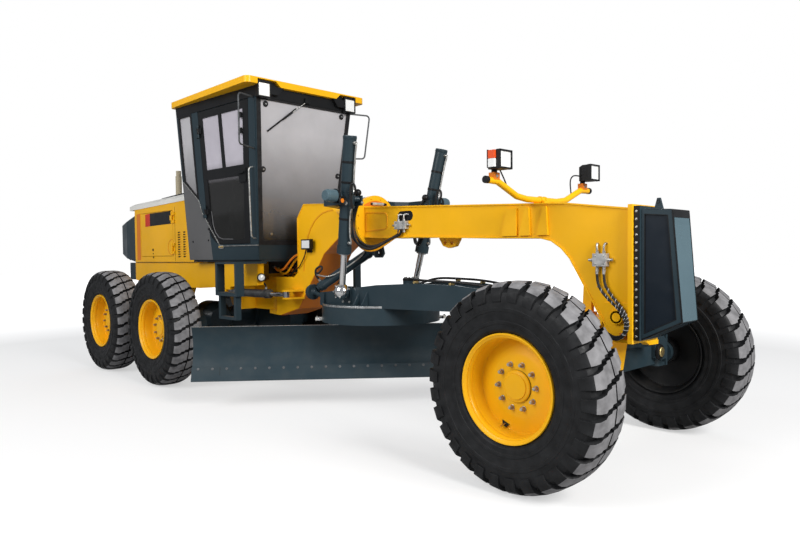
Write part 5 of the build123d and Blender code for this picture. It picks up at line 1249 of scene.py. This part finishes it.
def lift_cylinder_dress(side, sign):
    """Head, ports, bands, pipes and socket bolts of one lift cylinder."""
    down = Vector((-0.2010, -sign * 0.0831, -0.9759))
    along = on_line(Vector((1.304, sign * 0.552, 1.975)), down, (X - down * down.x).normalized())
    barrel = f"lift_barrel_{side}"
    p = Piece(f"lift_ports_{side}", barrel, TEAL, "teal_paint", 0.002)
    p.lathe([(0.0, 0.0), (0.056, 0.0), (0.0625, 0.008), (0.0625, 0.030), (0.060, 0.034), (0.060, 0.030)],
            along(-0.560), down, 40)
    p.use(STEEL)
    for t in (-0.500, 0.395):
        p.rod(along(t, 0.058), along(t, 0.080), 0.017, 6).rod(along(t, 0.078), along(t, 0.092), 0.012, 16)
    p.use(BLACK)
    for t in (-0.330, -0.150, 0.180):
        p.collar(0.0602, 0.0635, -0.010, 0.010, along(t), down, 40)
        p.rod(along(t, 0.060), along(t, 0.082), 0.010, 8)
    p.use(BRUSHED_AND_HIGHLIGHT).lathe([(0.0305, 0.0), (0.050, 0.0), (0.050, 0.010), (0.044, 0.014), (0.0305, 0.014)],
                             along(0.500), down, 40)
    p.done()
    for name, radius, material, slot_name, spots in LIFT_PIPES:
        tube(f"{name}_{side}", [along(*spot) for spot in spots], radius, material, barrel, slot_name)
    socket = Piece(f"lift_socket_bolts_{side}", f"lift_rod_{side}", STEEL, "dark_steel", 0.001)
    for x, z in circle(6, 0.060):
        socket.bolt((1.130 + x, sign * 0.530, 1.130 + z), (0, sign, 0), 0.007, 0.008)
    socket.done()


def shift_cylinder_dress():
    """Ports, pipe and hose of the cylinder that shifts the drawbar."""
    base, eye = Vector((0.575, -0.400, 1.105)), Vector((0.962, 0.420, 1.700))
    way = (eye - base).normalized()
    along = on_line(base, way, (Z - way * way.z).normalized())
    p = Piece("shift_ports", "shift_barrel", STEEL, "chrome_rod", 0.001)
    for t in (0.120, 0.690):
        p.use(TEAL).collar(0.0482, 0.0535, -0.016, 0.016, along(t), way, 36)
        p.use(STEEL).rod(along(t, 0.047), along(t, 0.075), 0.015, 6)
    p.use(BLACK).collar(0.0265, 0.046, 0.0, 0.012, along(0.7500), way, 36)
    p.done()
    for name, radius, material, slot_name, spots in SHIFT_PIPES:
        tube(name, [along(*spot) for spot in spots], radius, material, "shift_barrel", slot_name)


def articulation_cylinder_dress(side, sign):
    """Ports and hose of one cylinder between the frames."""
    start, end = Vector((-0.960, sign * 0.430, 1.055)), Vector((0.020, sign * 0.340, 1.055))
    way = (end - start).normalized()
    along = on_line(start, way, Z)
    p = Piece(f"art_ports_{side}", f"art_barrel_{side}", IRON, "dark_steel", 0.0015)
    for t in (0.110, 0.640):
        p.use(IRON).collar(0.0452, 0.052, -0.014, 0.014, along(t), way, 36)
        p.use(STEEL).rod(along(t, 0.044), along(t, 0.072), 0.014, 6)
    p.use(IRON).collar(0.0255, 0.049, 0.0, 0.030, along(0.685), way, 36)
    p.done()
    tube(f"art_hose_{side}", [along(*spot) for spot in ART_HOSE], 0.0095, HOSE, f"art_barrel_{side}",
         "black_plastic")


def cylinder_dress():
    """Ports, bands, pipes and hoses on all the cylinders."""
    for side, sign in SIDES:
        lift_cylinder_dress(side, sign)
    shift_cylinder_dress()
    for side, sign in SIDES:
        articulation_cylinder_dress(side, sign)


CIRCLE_X = 1.140
DRIVE_X = 1.560
BLADE_TURN = Matrix.Rotation(radians(49.4), 3, "Z")
BLADE_FRONT = BLADE_TURN @ Vector((0, -0.924, 0.382))     # way that the lower edge faces


def blade(u, y, z):
    """Place along the blade, across it and above the ground."""
    return Vector((CIRCLE_X, 0, 0)) + BLADE_TURN @ Vector((u, y, z))


def drawbar_dress():
    """Circle drive, bolts and hoses on the drawbar."""
    p = Piece("drawbar_fittings", "drawbar", STEEL, "chrome_rod", 0.001)
    p.use(BRUSHED_AND_HIGHLIGHT).lathe([(0.5655, 0.9845), (0.5675, 0.9860), (0.5675, 1.0040), (0.5655, 1.0055)],
                             (CIRCLE_X, 0, 0), Z, 120)
    p.use(BLACK).lathe([(0.0, 1.225), (0.078, 1.225), (0.078, 1.243), (0.070, 1.250), (0.0, 1.250)],
                       (DRIVE_X, 0, 0), Z, 40)
    p.use(STEEL)
    for n, radius, z in ((6, 0.060, 1.250), (10, 0.103, 1.120)):
        for x, y in circle(n, radius):
            p.bolt((DRIVE_X + x, y, z), Z, 0.008, 0.010)
    for sign in (-1, 1):
        for x in (1.085, 1.175):
            for z in (1.030, 1.150):
                p.use(STEEL).bolt((x, sign * 0.430, z), (0, sign, 0), 0.009, 0.010)
        for x, y in ((1.900, 0.305), (2.250, 0.232), (2.600, 0.166)):
            z = 1.225 - (x - 1.9) * 0.03
            p.use(BRASS).rod((x, sign * y, z), (x, sign * (y - 0.05), z), 0.012, 8)
    p.done()
    route = ((1.620, 0.050, 1.190), (1.680, 0.060, 1.215), (1.760, 0.160, 1.250), (1.950, 0.270, 1.240),
             (2.250, 0.205, 1.235), (2.600, 0.135, 1.200), (2.900, 0.080, 1.110), (3.040, 0.040, 1.030))
    for side, sign in SIDES:
        tube(f"drawbar_hose_{side}", [(x, sign * y, z) for x, y, z in route], 0.011, HOSE, "drawbar",
             "black_plastic")


def blade_dress():
    """Edge bolts of the blade, a painted highlight along its top edge, and the fittings of its slides."""
    p = Piece("blade_bolts", "blade", STEEL, "chrome_rod")
    for i in range(27):
        foot = blade(-1.768 + 0.136 * i, -0.0437, 0.385)
        head = foot + BLADE_FRONT * 0.003
        p.use(IRON).rod(foot, head, 0.013, 14).rod(head, foot + BLADE_FRONT * 0.007, 0.008, 12)
    # painted highlight: a bright metal strip along the blade's top edge, where light catches it
    rim = oblong(-1.829, 1.829, -0.0300, -0.0125)
    p.use(BRUSHED_AND_HIGHLIGHT).prism([blade(u, y, 0.7900) for u, y in rim], Z * 0.0025)
    p.use(BLACK)
    for u in (-1.560, 0.0, 1.560):
        p.prism([blade(u - 0.002, -0.0366, 0.4040), blade(u + 0.002, -0.0366, 0.4040),
                 blade(u + 0.002, -0.0865, 0.2750), blade(u - 0.002, -0.0865, 0.2750)],
                BLADE_FRONT * 0.0012)
    p.done()
    p = Piece("slide_fittings", "circle", WHITE, "white_paint", 0.0015)
    for sign in (-1, 1):
        pad_outline = oblong(0.572, 0.640, -0.030, 0.020)
        p.use(WHITE).prism([blade(sign * u, y, 0.836) for u, y in pad_outline], Z * 0.030)
        p.use(CHROME).rod(blade(sign * 0.600, -0.036, 0.851), blade(sign * 0.600, -0.060, 0.851), 0.014, 18)
        p.use(STEEL).bolt(blade(sign * 0.625, -0.005, 0.866), Z, 0.010, 0.012)
    p.done()


def rear_dress():
    """Chain case covers, ladder treads and the cooler's grille."""
    for side, sign in SIDES:
        at = flank(0.790, sign)
        p = Piece(f"tandem_cover_{side}", "rear_frame", TEAL, "teal_paint", 0.002)
        p.plate(at, oval(-2.220, 0.650, 0.900, 0.140, 16), 0.0, 0.008)
        for i in range(9):
            for z in (0.535, 0.765):
                p.use(STEEL).bolt(at(-3.020 + 0.2 * i, z, 0.008), (0, sign, 0), 0.010, 0.009)
        p.done()
        step = Piece(f"ladder_treads_{side}", "rear_frame", IRON, "dark_steel", 0.001)
        for z, x0, x1, y0, y1 in ((1.086, -0.570, -0.146, 0.760, 0.840),
                                  (0.830, -0.528, -0.188, 0.774, 0.826)):
            for i in range(4):
                y = y0 + (y1 - y0) * (i + 0.5) / 4
                step.box((x0, x1), (sign * (y - 0.005), sign * (y + 0.005)), (z, z + 0.004))
        step.done()
    p = Piece("cooler_grille", "rear_frame", BLACK, "black_paint", 0.001)
    lo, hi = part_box("radiator_cover")
    p.use(BLACK).box((lo.x - 0.0015, lo.x + 0.004), (-0.300, 0.300), (hi.z - 0.640, hi.z - 0.120))
    for i in range(13):
        z = hi.z - 0.620 + 0.040 * i
        p.use(TEAL).prism(at_x(lo.x - 0.0005, oblong(-0.295, 0.295, z, z + 0.016)), (-0.004, 0, -0.006))
    p.done()


# ---- stage ---------------------------------------------------------------------------
FLOOR_RINGS = (7.0, 13.0)       # the floor's glow rises between these distances
FLOOR_GLOW = (0.52, 1.15)       # seen near the machine, and far from it
FLOOR_HALF = 60
LAMPS = (                       # name, place, size, power, colour
    ("key", (11.5, -1.5, 6.5), 4.5, 1250, (1.0, 0.99, 0.97)),
    ("side", (0.5, -10.0, 7.0), 6.0, 760, (1.0, 1.0, 1.0)),
    ("fill", (-9.0, 8.0, 7.0), 8.0, 300, (0.92, 0.96, 1.0)),
)
LAMP_AIM = Vector((0.5, 0, 1.0))
CAMERA_AT = (5.9738, -4.4096, 1.4628)
CAMERA_TURN = (44.033, -1.962, -0.599)      # yaw from -X, pitch and roll, degrees
CAMERA_LENS = 36.0 * 667.5 / 800


def studio_floor():
    """Pale floor that melts into the backdrop far off and still takes shadows."""
    material = bpy.data.materials.new("studio_floor")
    material.use_nodes = True
    nodes, links = material.node_tree.nodes, material.node_tree.links
    bsdf = nodes["Principled BSDF"]
    for key, value in (("Roughness", 0.9), ("Specular IOR Level", 0.1),
                       ("Base Color", (0.42, 0.42, 0.42, 1)), ("Emission Color", (1.0, 1.0, 1.0, 1))):
        bsdf.inputs[key].default_value = value
    spot, reach = nodes.new("ShaderNodeTexCoord"), nodes.new("ShaderNodeVectorMath")
    reach.operation = "LENGTH"
    links.new(spot.outputs["Object"], reach.inputs[0])
    ring = nodes.new("ShaderNodeMapRange")
    for key, value in zip(("From Min", "From Max", "To Min", "To Max"), FLOOR_RINGS + FLOOR_GLOW):
        ring.inputs[key].default_value = value
    links.new(reach.outputs["Value"], ring.inputs["Value"])
    path, glow = nodes.new("ShaderNodeLightPath"), nodes.new("ShaderNodeMath")
    glow.operation = "MULTIPLY"
    links.new(path.outputs["Is Camera Ray"], glow.inputs[0])
    links.new(ring.outputs["Result"], glow.inputs[1])
    links.new(glow.outputs[0], bsdf.inputs["Emission Strength"])
    mesh = bpy.data.meshes.new("floor")
    mesh.from_pydata(at_z(0, oblong(-FLOOR_HALF, FLOOR_HALF, -FLOOR_HALF, FLOOR_HALF)), [], [(0, 1, 2, 3)])
    mesh.materials.append(material)
    floor = bpy.data.objects.new("floor", mesh)
    bpy.context.collection.objects.link(floor)


def backdrop():
    """Soft light from all round, and plain white where the camera looks past the machine."""
    world = bpy.data.worlds.new("studio")
    bpy.context.scene.world = world
    world.use_nodes = True
    nodes, links = world.node_tree.nodes, world.node_tree.links
    soft, plain = nodes["Background"], nodes.new("ShaderNodeBackground")
    soft.inputs["Color"].default_value = (0.93, 0.95, 1.0, 1)
    soft.inputs["Strength"].default_value = 0.34
    plain.inputs["Color"].default_value = (1, 1, 1, 1)
    path, mix = nodes.new("ShaderNodeLightPath"), nodes.new("ShaderNodeMixShader")
    links.new(path.outputs["Is Camera Ray"], mix.inputs["Fac"])
    links.new(soft.outputs[0], mix.inputs[1])
    links.new(plain.outputs[0], mix.inputs[2])
    links.new(mix.outputs[0], nodes["World Output"].inputs["Surface"])


def lamps():
    """Three area lamps that look at the machine."""
    for name, at, size, power, color in LAMPS:
        light = bpy.data.lights.new(name, "AREA")
        light.size, light.energy, light.color = size, power, color
        lamp = bpy.data.objects.new(name, light)
        lamp.location = at
        lamp.rotation_euler = (LAMP_AIM - Vector(at)).to_track_quat("-Z", "Y").to_euler()
        bpy.context.collection.objects.link(lamp)


def camera():
    """The camera that takes the photo's view."""
    lens = bpy.data.cameras.new("camera")
    lens.sensor_width, lens.lens, lens.clip_end = 36.0, CAMERA_LENS, 300
    yaw, pitch, roll = (radians(angle) for angle in CAMERA_TURN)
    forward = Vector((-cos(yaw) * cos(pitch), sin(yaw) * cos(pitch), sin(pitch)))
    right = Vector((sin(yaw), cos(yaw), 0))
    up = right.cross(forward)
    right, up = right * cos(roll) + up * sin(roll), up * cos(roll) - right * sin(roll)
    made = bpy.data.objects.new("camera", lens)
    made.matrix_world = Matrix.Translation(CAMERA_AT) @ Matrix((right, up, -forward)).transposed().to_4x4()
    bpy.context.collection.objects.link(made)
    bpy.context.scene.camera = made


wheels()
cab_sides()
cab_front()
cab_inside()
hood_dress()
neck_dress()
beam_dress()
nose_dress()
nose_face()
lamps_dress()
saddle_dress()
cylinder_dress()
drawbar_dress()
blade_dress()
rear_dress()
dress(("front_frame", "engine_hood", "hood_door_right", "hood_door_left", "rear_frame", "cab_roof",
       "lamp_bar"), YELLOW)
dress(("saddle", "drawbar", "circle", "moldboard", "cutting_edge", "nose_cover", "radiator_cover",
       "cab_frame", "front_axle", "lean_bracket_right", "lean_bracket_left", "knuckle_right",
       "knuckle_left", "lean_bar", "tie_rod", "tie_rod_end", "tandem_drive", "lift_barrel_right",
       "lift_barrel_left", "shift_barrel", "access_ladders"), TEAL)
dress(("lift_rod_right", "lift_rod_left", "shift_rod", "art_rod_right", "art_rod_left"), CHROME)
dress(("engine_block", "steering_console", "door_right", "door_left", "headlamps"), BLACK)
dress(("art_barrel_right", "art_barrel_left", "mirror_arms"), IRON)
dress(("hood_top",), WHITE)
dress(("exhaust_stack",), BEIGE)
dress(("cab_glass",), SMOKE)
dress(("door_glass_right", "door_glass_left"), DOOR_GLASS)
bpy.context.scene.view_settings.view_transform = "Standard"
studio_floor()
backdrop()
lamps()
camera()
